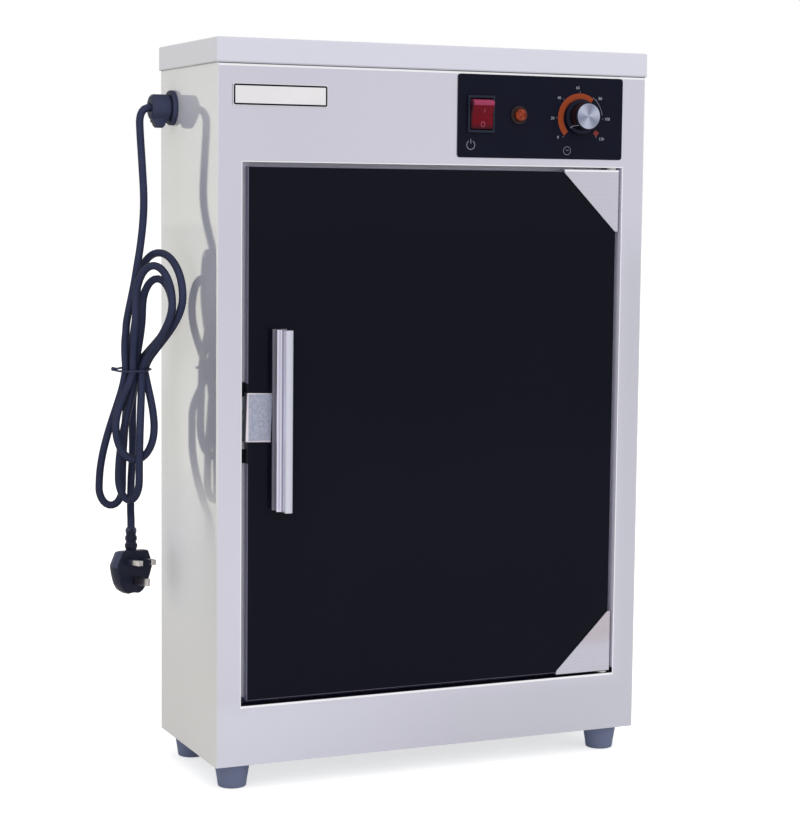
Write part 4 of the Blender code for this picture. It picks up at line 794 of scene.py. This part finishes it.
# %% Feet
def eased(points, reach, closed=False, steps=4):
    """An outline with soft corners: (1-t)^2 a + 2t(1-t) p + t^2 b, where p is the corner and a
    and b lie on its two sides at the reach from it."""
    points = np.asarray(points, float)

    def towards(others):
        way = others - points
        length = np.linalg.norm(way, axis=1, keepdims=True) + 1e-12
        return points + way / length * np.minimum(reach, length * 0.45)

    first, second = towards(np.roll(points, 1, 0)), towards(np.roll(points, -1, 0))
    share = np.linspace(0, 1, steps + 1)[None, :, None]
    curves = ((1 - share) ** 2 * first[:, None] + 2 * share * (1 - share) * points[:, None]
              + share ** 2 * second[:, None])
    if closed:
        return curves.reshape(-1, points.shape[1])
    return np.concatenate([points[:1], curves[1:-1].reshape(-1, points.shape[1]), points[-1:]])


def spun(profile, centre, axis, around=48, ripple=lambda angle, height: 1.0):
    """Rings of a profile of radius and height turned round an axis: centre + height * axis +
    radius * (cos a * side + sin a * up). A ripple gives each point's radius a factor."""
    radius, height = np.asarray(profile, float).T[..., None]
    axis = np.asarray(axis, float)
    side = np.array((1.0, 0, 0)) if abs(axis[0]) < 0.5 else np.array((0, 1.0, 0))
    up = np.cross(axis, side)
    angle = ring_angles(around)
    reach = (radius * ripple(angle[None], height))[..., None]
    turn = angle[None, :, None]
    return (np.asarray(centre, float) + height[..., None] * axis
            + reach * (np.cos(turn) * side + np.sin(turn) * up))


for where in ("front_left", "front_right", "back_left", "back_right"):
    low, high, middle = spans("foot_" + where)
    height, top = high.z - low.z, (high.x - low.x) / 2
    outline = eased(((0, 0.0012), (0.0045, 0.0012), (0.005, 0), (0.012, 0), (0.0128, 0.006),
                     (top, height - 0.0025), (top, height), (0.0024, height), (0, height)), 0.0012)
    piece("rubber_foot_" + where, [spun(outline, (middle.x, middle.y, low.z), (0, 0, 1), 40)],
          rubber, "cabinet", ("foot_" + where,))
    dress(zinc, "foot_screw_" + where)
print("four feet, %.0f mm high" % (height * 1000))

# %% [markdown]
# ## The door
# The door is one sheet of dark float glass, 6 mm thick, with ground edges. Its faces are polished
# and nearly black, and its edges are a rough bluish grey, so the finish asks by place whether a
# point lies on the rim. The steel shoes on its right corners, the clip on its free edge and the
# bent handle are CAD copies with rounded edges.

# %% Glass, shoes, clip and catch
def dark_glass():
    """Polished near-black faces, and a ground rim where a point is beyond the faces' border."""
    made = Finish("dark_glass", Specular_IOR_Level=0.06)
    half = (glass_high - glass_low) / 2
    x, _, z = made.parts(made.coordinates(centre=tuple(glass_middle)))
    rim = (x.size() - (half.x - 0.0006) | z.size() - (half.z - 0.0006)).step(0.0, 0.0004)
    # The rim is black where the catch stands behind it
    catch_half = (catch_high.z - catch_low.z) / 2
    off_catch = (z + (glass_middle.z - catch_middle.z)).size().step(
        catch_half, catch_half + 0.0004) | x.step(0.0, 0.001)
    rim = rim * (off_catch * 0.9 + 0.1)
    haze = made.noise(9)
    face = made.mixed(haze, screen(13, 15, 25), screen(16, 18, 30))
    return made.cover(made.mixed(rim, face, screen(128, 128, 148)),
                      rim * 0.45 + haze * 0.02 + 0.04)


catch_low, catch_high, catch_middle = spans("catch_body")
softened("door_glass", 0.0005, dark_glass())
for where in ("top", "bottom"):
    softened("hinge_shoe_" + where, 0.0004, shoe_steel)
    dress(bright_steel, "pivot_pin_" + where)
    dress(nylon, "pivot_bush_" + where)
clip = softened("strike_clip", 0.0009, clip_steel, segments=3)
# The clip sits slightly askew on the glass
clip.data.transform(Matrix.Translation(clip_middle) @ Matrix.Rotation(math.radians(2.0), 4, 'Y')
                    @ Matrix.Translation(-clip_middle))
softened("catch_body", 0.0006, black_plastic)
softened("catch_poles", 0.0002, zinc)
softened("handle", 0.00035, handle_steel)
dress(bright_steel, "handle_screw_lower", "handle_screw_upper")
print("door: glass, shoes, clip, handle and catch")

# %% [markdown]
# ## The control panel
# A black painted plate carries the switch, the lamp and the timer. Its print is flat colour: an
# orange band round the timer, short ticks and plain numbers of minutes. A picture could hold the
# print, but a print made of thin strips stays sharp at any size. A strip is a flat bar with four
# corners that is carried along a line.

# %% Panel plate and print
FRONT = (0, -1, 0)
INK, INK_SHARP = 0.00006, 20


def strip(line, width):
    """Four corners carried along a line on the front: half the width to each side of it, and
    from nothing to the ink's depth outwards."""
    line, out = np.asarray(line, float), np.array(FRONT, float)
    across = np.cross(np.gradient(line, axis=0), out)
    across /= np.linalg.norm(across, axis=1, keepdims=True)
    side = np.array((-0.5, 0.5, 0.5, -0.5))[None, :, None] * width * across[:, None]
    return line[:, None] + side + np.array((0, 0, 1, 1))[None, :, None] * INK * out


def printed(name, lines, ink, body="cabinet"):
    """Lines and their widths as strips of ink, in one piece."""
    piece(name, [strip(*line) for line in lines], ink, body, sharp=INK_SHARP)


def arc(centre, radius, start, end, count=48):
    """Points on an upright circle, facing the front: centre + radius * (cos a, 0, sin a)."""
    angle = np.radians(np.linspace(start, end, count))
    return np.asarray(centre) + radius * np.stack([np.cos(angle), 0 * angle, np.sin(angle)], -1)


knob_low, knob_high, knob_middle = spans("timer_knob")
panel_y, control_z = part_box("control_panel")[0].y, knob_middle.z
dial = (knob_middle.x, panel_y, control_z)

panel_paint = moulded("panel_paint", (16, 18, 33), 0.45, grain_size=0.0006, depth=0.00002,
                      gloss=0.05)
orange_ink, band_shade_ink, silver_ink, white_ink = (
    moulded(name + "_ink", colour, 0.5, gloss=0.1)
    for name, colour in (("orange", (146, 65, 35)), ("band_shade", (116, 50, 44)),
                         ("silver", (128, 130, 142)), ("white", (158, 162, 174))))
softened("control_panel", 0.0003, panel_paint)

# The print's middle stands a little below the knob's axis
print_at = (dial[0] + 0.0004, panel_y, control_z - 0.0014)
# The orange band is left out where the knob's shadow falls on it, and its far end, only half in
# that shadow, is painted shade in brown
parts = (("dial_band", orange_ink, (225, 52), 0.0189, 0.0054),
         ("dial_end", band_shade_ink, (-32, -44), 0.0206, 0.0044),
         ("dial_arc", silver_ink, (55, 8), 0.0223, 0.0004))
for name, ink, (start, end), radius, width in parts:
    printed(name, [(arc(print_at, radius, start, end, 90), width)], ink)
TICKS = [225 - 45 * place for place in range(7)]
TICK_FROM, TICK_TO, TICK_WIDTH = 0.0219, 0.0236, 0.0003
printed("dial_ticks", [(np.concatenate([arc(print_at, radius, turn, turn, 1)
                                        for radius in (TICK_FROM, TICK_TO)]), TICK_WIDTH)
                       for turn in TICKS], silver_ink)
print("panel with its dial band and %d ticks" % len(TICKS))

# %% [markdown]
# Numbers start as text objects. Text is turned into a mesh before it gets its place, and the
# seven numbers are joined into one piece.

# %% Numbers and signs
NUMBER_SIZE, NUMBER_RING = 0.0036, 0.0272


def lettering(name, words, size, look):
    """Words at given middles on the front, as one thin mesh."""
    built = bmesh.new()
    for text, middle in words:
        curve = bpy.data.curves.new(name, 'FONT')
        curve.body, curve.size, curve.extrude = text, size, INK / 2
        curve.align_x, curve.align_y = 'CENTER', 'CENTER'
        curve.resolution_u = 3
        holder = added(name, curve)
        bpy.context.view_layer.update()
        mesh = bpy.data.meshes.new_from_object(
            holder.evaluated_get(bpy.context.evaluated_depsgraph_get()))
        mesh.transform(Matrix.Translation(middle) @ Matrix.Rotation(math.radians(90), 4, 'X'))
        built.from_mesh(mesh)
        bpy.data.objects.remove(holder)
        bpy.data.meshes.remove(mesh)
    mesh = bpy.data.meshes.new(name)
    built.to_mesh(mesh)
    built.free()
    return finished(name, mesh, look, "cabinet", sharp=INK_SHARP)


# How far each number stands from its even place, across and up, in millimetres
NUDGES = ((-1.6, 1.0), (0.7, -1.9), (-1.05, -3.4), (-2.1, -2.3), (1.15, -3.1), (0.5, -1.6),
          (2.9, 0.25))
numbers = [(str(20 * place), Vector(arc(dial, NUMBER_RING, turn, turn, 1)[0])
            + Vector((across / 1000, -INK / 2, up / 1000)))
           for place, (turn, (across, up)) in enumerate(zip(TICKS, NUDGES))]
lettering("dial_numbers", numbers, NUMBER_SIZE, white_ink)

switch_x = spans("switch_housing")[2].x
power = np.array((switch_x - 0.0091, panel_y, control_z - 0.0264))
clock = np.array((dial[0] - 0.0118, panel_y, control_z - 0.0297))
printed("panel_signs", [
    (arc(power, 0.0038, 60, -240, 40), 0.0006),
    (power + ((0, 0, 0.0012), (0, 0, 0.0052)), 0.0006),
    (arc(clock, 0.0035, 0, 360, 48), 0.0004),
    (clock + ((-0.0012, 0, 0.0012), (0, 0, 0), (0.0018, 0, 0.0006)), 0.0004)], silver_ink)
print("dial numbers and two signs")

# %% [markdown]
# ## The timer's knob
# The knob is glossy black plastic: a round skirt, a slightly tapered grip with fine flutes, and a
# cap of spun aluminium let into its front. It is turned from an eased profile, and the flutes are
# a cosine that makes the radius a little smaller between the ribs. A white line over the skirt
# and up the grip points at the time.

# %% Knob, cap and pointer
cap_low, cap_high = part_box("timer_knob_cap")
axle = (dial[0], knob_high.y, dial[2])
grip = knob_high.y - knob_low.y
FLUTES, FLUTE_DEPTH = 36, 0.018
profile = eased(((0, 0.0004), (0.0140, 0.0004), (0.0153, 0.0), (0.0153, 0.0011), (0.0149, 0.0021),
                 (0.0127, 0.0026), (0.0123, 0.0040), (0.01205, grip - 0.0012), (0.0117, grip),
                 (0, grip)), 0.0005)


def fluted(angle, height):
    """1 less a share that swings with the angle, only along the grip."""
    start, end = (height - 0.0034) / 0.001, (grip - 0.0016 - height) / 0.001
    along = np.clip(start, 0, 1) * np.clip(end, 0, 1)
    return 1 - FLUTE_DEPTH * along * (0.5 + 0.5 * np.cos(FLUTES * angle))


piece("knob_grip", [spun(profile, axle, FRONT, FLUTES * 6, fluted)], knob_plastic, "timer",
      ("timer_knob",))

# The cap's rays are painted sheen from a sine of the angle, and its turned rings one of the radius
spun_metal = Finish("spun_aluminium", Metallic=1.0)
x, y, z = spun_metal.parts(spun_metal.coordinates(centre=(dial[0], cap_low.y, dial[2])))
painted_ray_sheen = (z.maths('ARCTAN2', x) * 3.0 + 0.6).maths('SINE') * 0.5 + 0.5
rings = ((x * x + z * z).maths('SQRT') * 9000.0).maths('SINE')
spun_metal.cover(spun_metal.mixed(painted_ray_sheen, screen(134, 138, 160), screen(184, 188, 208)),
                 painted_ray_sheen * 0.08 + 0.32, rings, 0.000006, 0.4)
tall = cap_high.y - cap_low.y
profile = eased(((0, 0), (0.0109, 0), (0.0111, 0.0003), (0.0109, tall), (0.0104, tall - 0.0001),
                 (0.0101, tall - 0.0003), (0, tall - 0.0003)), 0.0002)
piece("knob_cap", [spun(profile, (dial[0], cap_high.y, dial[2]), FRONT, 64)],
      spun_metal.material, "timer", ("timer_knob_cap",))

POINTER_TURN = math.radians(222)
heading = np.array((math.cos(POINTER_TURN), 0, math.sin(POINTER_TURN)))
pointer = (np.array(axle) + np.outer((0.0151, 0.0135, 0.01265, 0.0124, 0.0123, 0.0120), heading)
           + np.outer((0.0020, 0.0025, 0.0028, 0.0040, 0.0075, grip - 0.0006), FRONT))
piece("knob_pointer", [tube(pointer, 0.0003, 8, (0.7, 0, -0.7))], white_ink, "timer")
dress(bright_steel, "timer_shaft")
softened("timer_body", 0.0005, black_plastic)
print("knob with %d flutes" % FLUTES)

# %% [markdown]
# ## Switch and lamp
# The rocker is red, glossy and slightly clear, in a black bezel; a line and a ring mark its two
# sides. The lamp is an amber lens with twelve facets in a thin dark rim.

# %% Switch and lamp
rocker_low, rocker_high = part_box("switch_rocker")
red = Finish("red_plastic", Specular_IOR_Level=0.1)
mottle = red.noise(160, detail=2.0)
x, y, z = red.parts(red.coordinates())
# Painted light on the rocker: a painted highlight along its upper part, painted shade towards its
# bottom, and painted shadow of the bezel along its left edge and its top edge
lit = z.step(rocker_high.z - 0.0060, rocker_high.z - 0.0055)
low = z.until(rocker_low.z + 0.0008, rocker_low.z + 0.0060)
dark = (x.until(rocker_low.x + 0.0008, rocker_low.x + 0.0020)
        | z.step(rocker_high.z - 0.0014, rocker_high.z - 0.0008))
red.cover(red.laid(screen(96, 6, 22), (mottle, screen(112, 12, 30)),
                   (low * 0.75, screen(48, 18, 30)), (lit, screen(158, 62, 92)),
                   (dark * 0.85, screen(40, 16, 26))), mottle * 0.06 + 0.24)
softened("switch_housing", 0.0005, moulded("bezel_plastic", (34, 38, 52), 0.42, gloss=0.1))
rocker = softened("switch_rocker", 0.0007, red.material, segments=3)


def pressed(line, target):
    """The points of a line moved along y onto a piece's front, found by rays from before it."""
    bpy.context.view_layer.update()
    hits = [target.ray_cast((x, -0.5, z), (0, 1, 0))[1] for x, _, z in line.tolist()]
    return np.array([tuple(hit) for hit in hits])


ring = (arc((0, 0, 0), 0.0017, 0, 360, 33) * (1.0, 1, 1.2)
        + (switch_x + 0.0010, 0, control_z - 0.0087))
stroke = smooth_line([(switch_x + 0.0014, 0, control_z + 0.0012),
                      (switch_x + 0.0022, 0, control_z + 0.0044)], 0.0004)
printed("rocker_marks", [(pressed(line, rocker), 0.0004) for line in (ring, stroke)],
        moulded("mark_ink", (158, 92, 108), 0.5, gloss=0.1), "rocker")
print("switch and its marks")

amber = Finish("amber_lens", Specular_IOR_Level=0.2, Coat_Weight=0.05, Coat_Roughness=0.1,
               Emission_Strength=0.05)
lens_low, lens_high, lens_middle = spans("lamp_lens")
lamp_at = (lens_middle.x, lens_high.y, lens_middle.z)
rise = lens_high.y - lens_low.y
# Bright patches of noise are painted glints in the lens
painted_glints = amber.noise(420, detail=1.0)
x, y, z = amber.parts(amber.coordinates(centre=lamp_at))
outer = (x * x + z * z).maths('SQRT').step(0.0048, 0.0053)
colour = amber.laid(screen(94, 27, 12), (painted_glints.step(0.3, 0.7), screen(150, 57, 22)),
                    (outer * 0.7, screen(60, 22, 18)))
amber.feed("Emission Color", colour)
amber.cover(colour, painted_glints * 0.15 + 0.18)


def twelve(angle, height):
    """1 at the twelve ridges, and less between them, more so towards the crown."""
    return 1 - (0.03 + 0.03 * height / rise) * (1 - np.abs(np.cos(6 * angle)))


profile = np.array(((0, 0), (0.0055, 0), (0.0055, 0.35), (0.0049, 0.55), (0.0036, 0.68),
                    (0.0018, 0.75), (0, 0.75))) * (1, rise)
piece("amber_cap", [spun(profile, lamp_at, FRONT, 48, twelve)], amber.material, "cabinet",
      ("lamp_lens",), sharp=12)
# The rim's warm tint is painted glow from the lamp
softened("lamp_bezel", 0.0002, moulded("lamp_rim", (44, 32, 33), 0.4, gloss=0.15))
print("amber lamp")

# %% [markdown]
# ## Gland, plug and wire tie
# The lead leaves the cabinet through a nylon gland: a round flange, an eight-sided nut, and a clamp
# with a serrated underside. The plug is a moulded British type, six-sided with a notch at its
# foot. Its pin face is the widest and its back is smaller, so it is lofted through a few
# outlines. Its sleeve has three rings and tapers towards the flex. Two of its pins are sleeved
# in plastic next to the plug.

# %% Gland
LEFTWARDS = (-1, 0, 0)


def eight_sided(angle, height):
    """A rounded eight-sided form: the radius follows an octagon's, cos(22.5) / cos(a), softened."""
    side = math.pi / 4
    within = np.mod(angle + side / 2, side) - side / 2
    octagon = math.cos(side / 2) / np.cos(within)
    return np.where(height > 0, 0.35 + 0.65 * octagon, 1.0)


flange = spun(eased(((0.0037, 0.014), (0.0093, 0.014), (0.0093, 0.0043), (0.0142, 0.0043),
                     (0.015, 0.0034), (0.015, 0.0003), (0.0100, 0.0003), (0.0100, -0.008),
                     (0.0037, -0.008), (0.0037, 0.014)), 0.0005), GLAND, LEFTWARDS, 64)
piece("gland_flange", [flange], gland_plastic, "cabinet", ("gland_body",))
nut = spun(eased(((0.0037, 0.0143), (0.0037, 0.0206), (0.0046, 0.021), (0.0092, 0.021),
                  (0.0119, 0.0186), (0.0119, 0.0060), (0.0114, 0.0046), (0.0096, 0.0046),
                  (0.0096, 0.0143), (0.0037, 0.0143)), 0.0006), GLAND, LEFTWARDS, 64, eight_sided)

# The clamp's two ends along the gland, its half width, and how far down it starts and reaches
near, far, half, inner, drop = 0.007, 0.019, 0.0065, 0.0092, 0.0174
SERRATION, TEETH = 0.0003, 7
swing = np.radians(np.linspace(0, 180, 25))
under = (drop - 0.0022 + 0.0022 * np.sin(swing) ** 0.6
         - SERRATION * (0.5 - 0.5 * np.cos(2 * TEETH * swing)))
section = np.concatenate([[(0, half, -inner)],
                          np.stack([0 * swing, half * np.cos(swing), -under], -1),
                          [(0, -half, -inner)]])
# Towards both ends the clamp is narrower and reaches less far down
step_in = np.array((0, 0.0014, 0.0024, 0.0034))
along = np.concatenate([near + step_in, far - step_in[::-1]])
narrow, reach_down = (np.array((*shares, *shares[::-1]))[:, None, None]
                      for shares in ((0.86, 0.94, 0.97, 1.0), (0.74, 0.80, 0.94, 1.0)))
clamp = (GLAND + section[None] * np.concatenate([narrow, narrow, reach_down], -1)
         + along[:, None, None] * np.array(LEFTWARDS))
piece("gland_clamp_nut", [nut, clamp], gland_plastic, "cabinet", ("gland_nut",))
softened("gland_lock_nut", 0.0006, black_plastic)
print("gland with its nut and clamp")

# %% Plug and its sleeve
PLUG_OUTLINE = ((0.35, 1.0), (0.5, 0.66), (0.44, 0.42), (0.36, 0.2), (0.26, 0.06), (0.15, 0.0),
                (0.05, 0.02), (-0.05, 0.02), (-0.15, 0.0), (-0.26, 0.06), (-0.36, 0.2),
                (-0.44, 0.42), (-0.5, 0.66), (-0.35, 1.0))
PLUG_WIDTH, PLUG_DEPTH = 0.044, 0.0125
heading, roll = math.radians(-61), math.radians(4)
pins_way = np.array((math.cos(heading), math.sin(heading), 0))
level = np.array((pins_way[1], -pins_way[0], 0))
# The plug hangs a little turned about the way its pins point
across = math.cos(roll) * level + math.sin(roll) * np.array((0, 0, 1))
upwards = math.cos(roll) * np.array((0, 0, 1)) - math.sin(roll) * level
turned_foot = plug_foot + PLUG_HEIGHT * (np.array((0, 0, 1)) - upwards)
outline = eased(np.array(PLUG_OUTLINE) * (PLUG_WIDTH, PLUG_HEIGHT), 0.0018, closed=True)
# Share of the depth towards the pins, and shares of the width and the height
STAGES = np.array(((0.5, 0.96, 0.97), (0.47, 0.99, 0.99), (0.40, 1.0, 1.0), (0.0, 1.0, 1.0),
                   (-0.38, 0.93, 0.94), (-0.46, 0.90, 0.92), (-0.5, 0.85, 0.88)))
depths, widths, heights = STAGES.T[..., None, None]
middle = PLUG_HEIGHT * 0.5
rings = (turned_foot + depths * PLUG_DEPTH * pins_way + outline[None, :, :1] * widths * across
         + (middle + (outline[None, :, 1:] - middle) * heights) * upwards)
sleeve = []
for ring in range(3):
    top, wider = RELIEF_LENGTH * (1 - ring / 3) - 0.0012, 0.0002 * ring
    wide = 0.0048 + 0.00035 * ring
    sleeve += [(0.0042 + wider, top + 0.0003), (wide, top), (wide, top - 0.0034),
               (0.0043 + wider, top - 0.0038)]
sleeve = eased([(0, RELIEF_LENGTH), (0.0037, RELIEF_LENGTH), *sleeve, (0.0050, -0.003),
                (0, -0.003)], 0.0004)
collar = spun(sleeve, plug_foot + (0, 0, PLUG_HEIGHT), (0, 0, 1), 32)


def along_way(way, x, y):
    """How far a place lies along a nearly level direction."""
    return x * float(way[0]) + y * float(way[1])


# The slanted sides that look up are painted lighter than those that look down, as painted light
# from above
plug_skin = Finish("plug_skin", Specular_IOR_Level=0.12)
x, y, z = plug_skin.parts(plug_skin.coordinates(centre=tuple(turned_foot)))
edge = (along_way(across, x, y).size()
        + (z - PLUG_HEIGHT * 0.66) * (0.15 * PLUG_WIDTH / (0.34 * PLUG_HEIGHT)))
painted_lit_facet = (edge.step(PLUG_WIDTH * 0.38, PLUG_WIDTH * 0.40)
           * z.step(PLUG_HEIGHT * 0.64, PLUG_HEIGHT * 0.67)
           * along_way(pins_way, x, y).until(PLUG_DEPTH * 0.42, PLUG_DEPTH * 0.45))
skin = plug_skin.noise(800, detail=2.0)
plug_skin.cover(plug_skin.mixed(painted_lit_facet * 0.8, screen(32, 35, 52), screen(68, 73, 96)),
                skin * 0.1 + 0.3, skin, 0.00004)
plug = piece("plug_moulding", [rings, collar], plug_skin.material, "cabinet", ("plug_body",),
             sharp=24)
print("plug at", [round(value, 4) for value in plug_foot])

# %% [markdown]
# The pins carry painted shade next to the plug, so their finish follows the way they point. The
# sleeve of a live pin is the pin's own section, a little larger, carried over the part next to the
# plug. The two sleeves are not the same length: the longer one's dark plastic stands for shade on
# that pin.

# %% Pins and their sleeves
SHADE_FADE, SLEEVE_PROUD = 0.0032, 0.0002


def pin_brass(name, start):
    """Brass with painted shade next to the plug, and bright from a distance onwards."""
    def paint(made, x, y, z):
        along = along_way(pins_way, x - float(turned_foot[0]), y - float(turned_foot[1]))
        past_painted_shade = (along - PLUG_DEPTH / 2).step(start, start + SHADE_FADE)
        return made.mixed(past_painted_shade, screen(92, 88, 98), screen(216, 210, 205)), 0.85, 0.3
    return steel(name, (1500, 1500, 100), 0.000005, 0.08, paint)


live_brass, earth_brass = pin_brass("live_brass", 0.0055), pin_brass("earth_brass", 0.0122)
pins = [softened("plug_pin_" + name, 0.0005, brass) for name, brass in
        (("line", live_brass), ("neutral", live_brass), ("earth", earth_brass))]
section = eased(((0.5, 0.5), (-0.5, 0.5), (-0.5, -0.5), (0.5, -0.5)), 0.12, closed=True)[None]
shares = np.array((1.0, 1.0, 1.0, 0.97))[:, None, None]
sleeves = []
# The longer sleeve is dark plastic put where shade falls on its pin
for name, sleeved in (("line", 0.0130), ("neutral", 0.0070)):
    corners = np.array([corner.co for corner in nodes["plug_pin_" + name].data.vertices])
    place = corners - turned_foot
    ends = (place @ pins_way).min() - 0.0002 + np.array((0.0, 0.0005, sleeved - 0.0003, sleeved))
    rings = turned_foot + ends[:, None, None] * pins_way
    for axis, way in enumerate((across, upwards)):
        low, high = (place @ way).min(), (place @ way).max()
        rings = rings + ((low + high) / 2 + shares * (high - low + 2 * SLEEVE_PROUD)
                         * section[..., axis, None]) * way
    sleeves.append(rings)
covers = piece("pin_sleeves", sleeves, plug_plastic, "cabinet")
print("three pins, two of them sleeved")

# %% [markdown]
# The tie is a plastic-covered wire that goes once round the waist and is twisted at its ends. Its
# ring is the outermost of the seven strands in each direction, set off by half the flex.

# %% Wire tie
TIE_RADIUS, RING_STEPS = 0.0009, 61
share = np.linspace(0, 1, RING_STEPS)
turn = math.radians(195) + np.radians(335) * share
way = np.stack([np.cos(turn), np.sin(turn)], -1)
ring = STRANDS[np.argmax(STRANDS @ way.T, axis=0)] + (CORD_DIAMETER / 2 + 0.0015) * way
line = np.column_stack([ring, 0.0027 * (share - 0.5)])
# Both ends twist round one axis that leads away from the waist
knot = (line[0] + line[-1]) / 2 + (-0.0022, -0.0009, 0)
share = np.linspace(0, 1, 9)[:, None]
twist = 2.5 * math.pi * share
ends = [knot + share * (-0.0046, -0.0018, 0.0010)
        + side * 0.0010 * np.hstack([0 * share, np.sin(twist), np.cos(twist)]) for side in (-1, 1)]
line = smooth_line(in_hank(np.concatenate([ends[0][::-1], line[::3], ends[1]])), 0.0006)
tie = piece("wire_tie", [tube(line, TIE_RADIUS, 10, (0, 0, 1))], gland_plastic, "cabinet",
            ("cord_tie",))

# %% [markdown]
# ## Inside the cabinet
# Behind the door are a slotted rack, the ultraviolet tube between its two holders, and a heating
# rod in a U under its slotted guard. Bent sheet again gets rounded copies. The tube has bright
# caps on clear glass with a pale coating, and the rod is a new tube along the CAD rod's line.

# %% Rack, tube and heater
for width, look, names in (
        (0.0003, chamber_steel, ("inner_liner", "knife_rack")),
        (0.0002, chamber_steel, ("rack_ledge_left", "rack_ledge_right")),
        (0.0003, chamber_steel, ("heater_guard",)),
        (0.001, holder_plastic, ("lamp_holder_left", "lamp_holder_right")),
        (0.0006, zinc, ("ballast",)), (0.0006, nylon, ("terminal_block",)),
        (0.0004, black_plastic, ("thermostat",))):
    for name in names:
        softened(name, width, look)

CAP = 0.014
frosted = Finish("lamp_tube_glass", Specular_IOR_Level=0.5, Coat_Weight=0.3)
mist = frosted.noise(60)
frosted.cover(frosted.mixed(mist, screen(214, 220, 232), screen(236, 240, 247)),
              mist * 0.10 + 0.10)
tube_low, tube_high, tube_middle = spans("uv_tube")
radius = (tube_high.z - tube_low.z) / 2
tube_at = (tube_low.x, tube_middle.y, tube_middle.z)
reach, inside = tube_high.x - tube_low.x, radius - 0.0004
profile = eased(((0, CAP), (inside, CAP), (inside, reach - CAP), (0, reach - CAP)), 0.0003)
piece("lamp_tube", [spun(profile, tube_at, (1, 0, 0), 40)], frosted.material, "cabinet",
      ("uv_tube",))
ends = [spun(eased(((0, start), (radius - 0.0008, start), (radius, start + way * 0.0012),
                    (radius, start + way * (CAP - 0.001)),
                    (radius - 0.0003, start + way * (CAP + 0.0002)), (0, start + way * CAP)),
                   0.0004), tube_at, (1, 0, 0), 40) for start, way in ((0.0, 1), (reach, -1))]
piece("lamp_caps", ends, spun_metal.material, "cabinet")

rod_low, rod_high, rod_middle = spans("heating_element")
rod = (rod_high.z - rod_low.z) / 2
bend = (rod_high.y - rod_low.y) / 2 - rod
sweep = np.radians(np.linspace(-90, -270, 33))
bent = (rod_low.x + rod + bend, rod_middle.y, rod_middle.z) + bend * np.stack(
    [np.cos(sweep), np.sin(sweep), 0 * sweep], -1)
u_line = np.concatenate([[(rod_high.x, rod_middle.y - bend, rod_middle.z)], bent,
                         [(rod_high.x, rod_middle.y + bend, rod_middle.z)]])
heated = steel("heated_steel", 300, 0.00003, 0.2, plain((150, 140, 132), 0.85, 0.4))
piece("heating_rod", [tube(smooth_line(u_line, 0.004), rod, 16, (0, 0, 1))], heated, "cabinet",
      ("heating_element",))
print("inside: rack, tube, rod and guard")

# %% [markdown]
# ## The name plate
# The name plate at the top left is a thin white enamelled plate with a black line round it, left
# bare here. The line could be paint by place, but four thin strips keep it sharp at any size.

# %% Name plate
BORDER_INSET, BORDER_WIDTH = 0.0012, 0.0014
softened("name_plate", 0.0002, moulded("white_enamel", (226, 224, 226), 0.25, grain_size=0.004,
                                       depth=0.00001, gloss=0.5))
plate_low, plate_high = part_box("name_plate")
left, right = plate_low.x + BORDER_INSET, plate_high.x - BORDER_INSET
foot, head = plate_low.z + BORDER_INSET, plate_high.z - BORDER_INSET
corners = np.array([(x, plate_low.y, z) for x, z in
                    ((left, foot), (right, foot), (right, head), (left, head))])
sides = [(np.array([a, (a + b) / 2, b]), BORDER_WIDTH)
         for a, b in zip(corners, np.roll(corners, -1, 0))]
printed("plate_border", sides, panel_paint)
print("bare plate with its border")
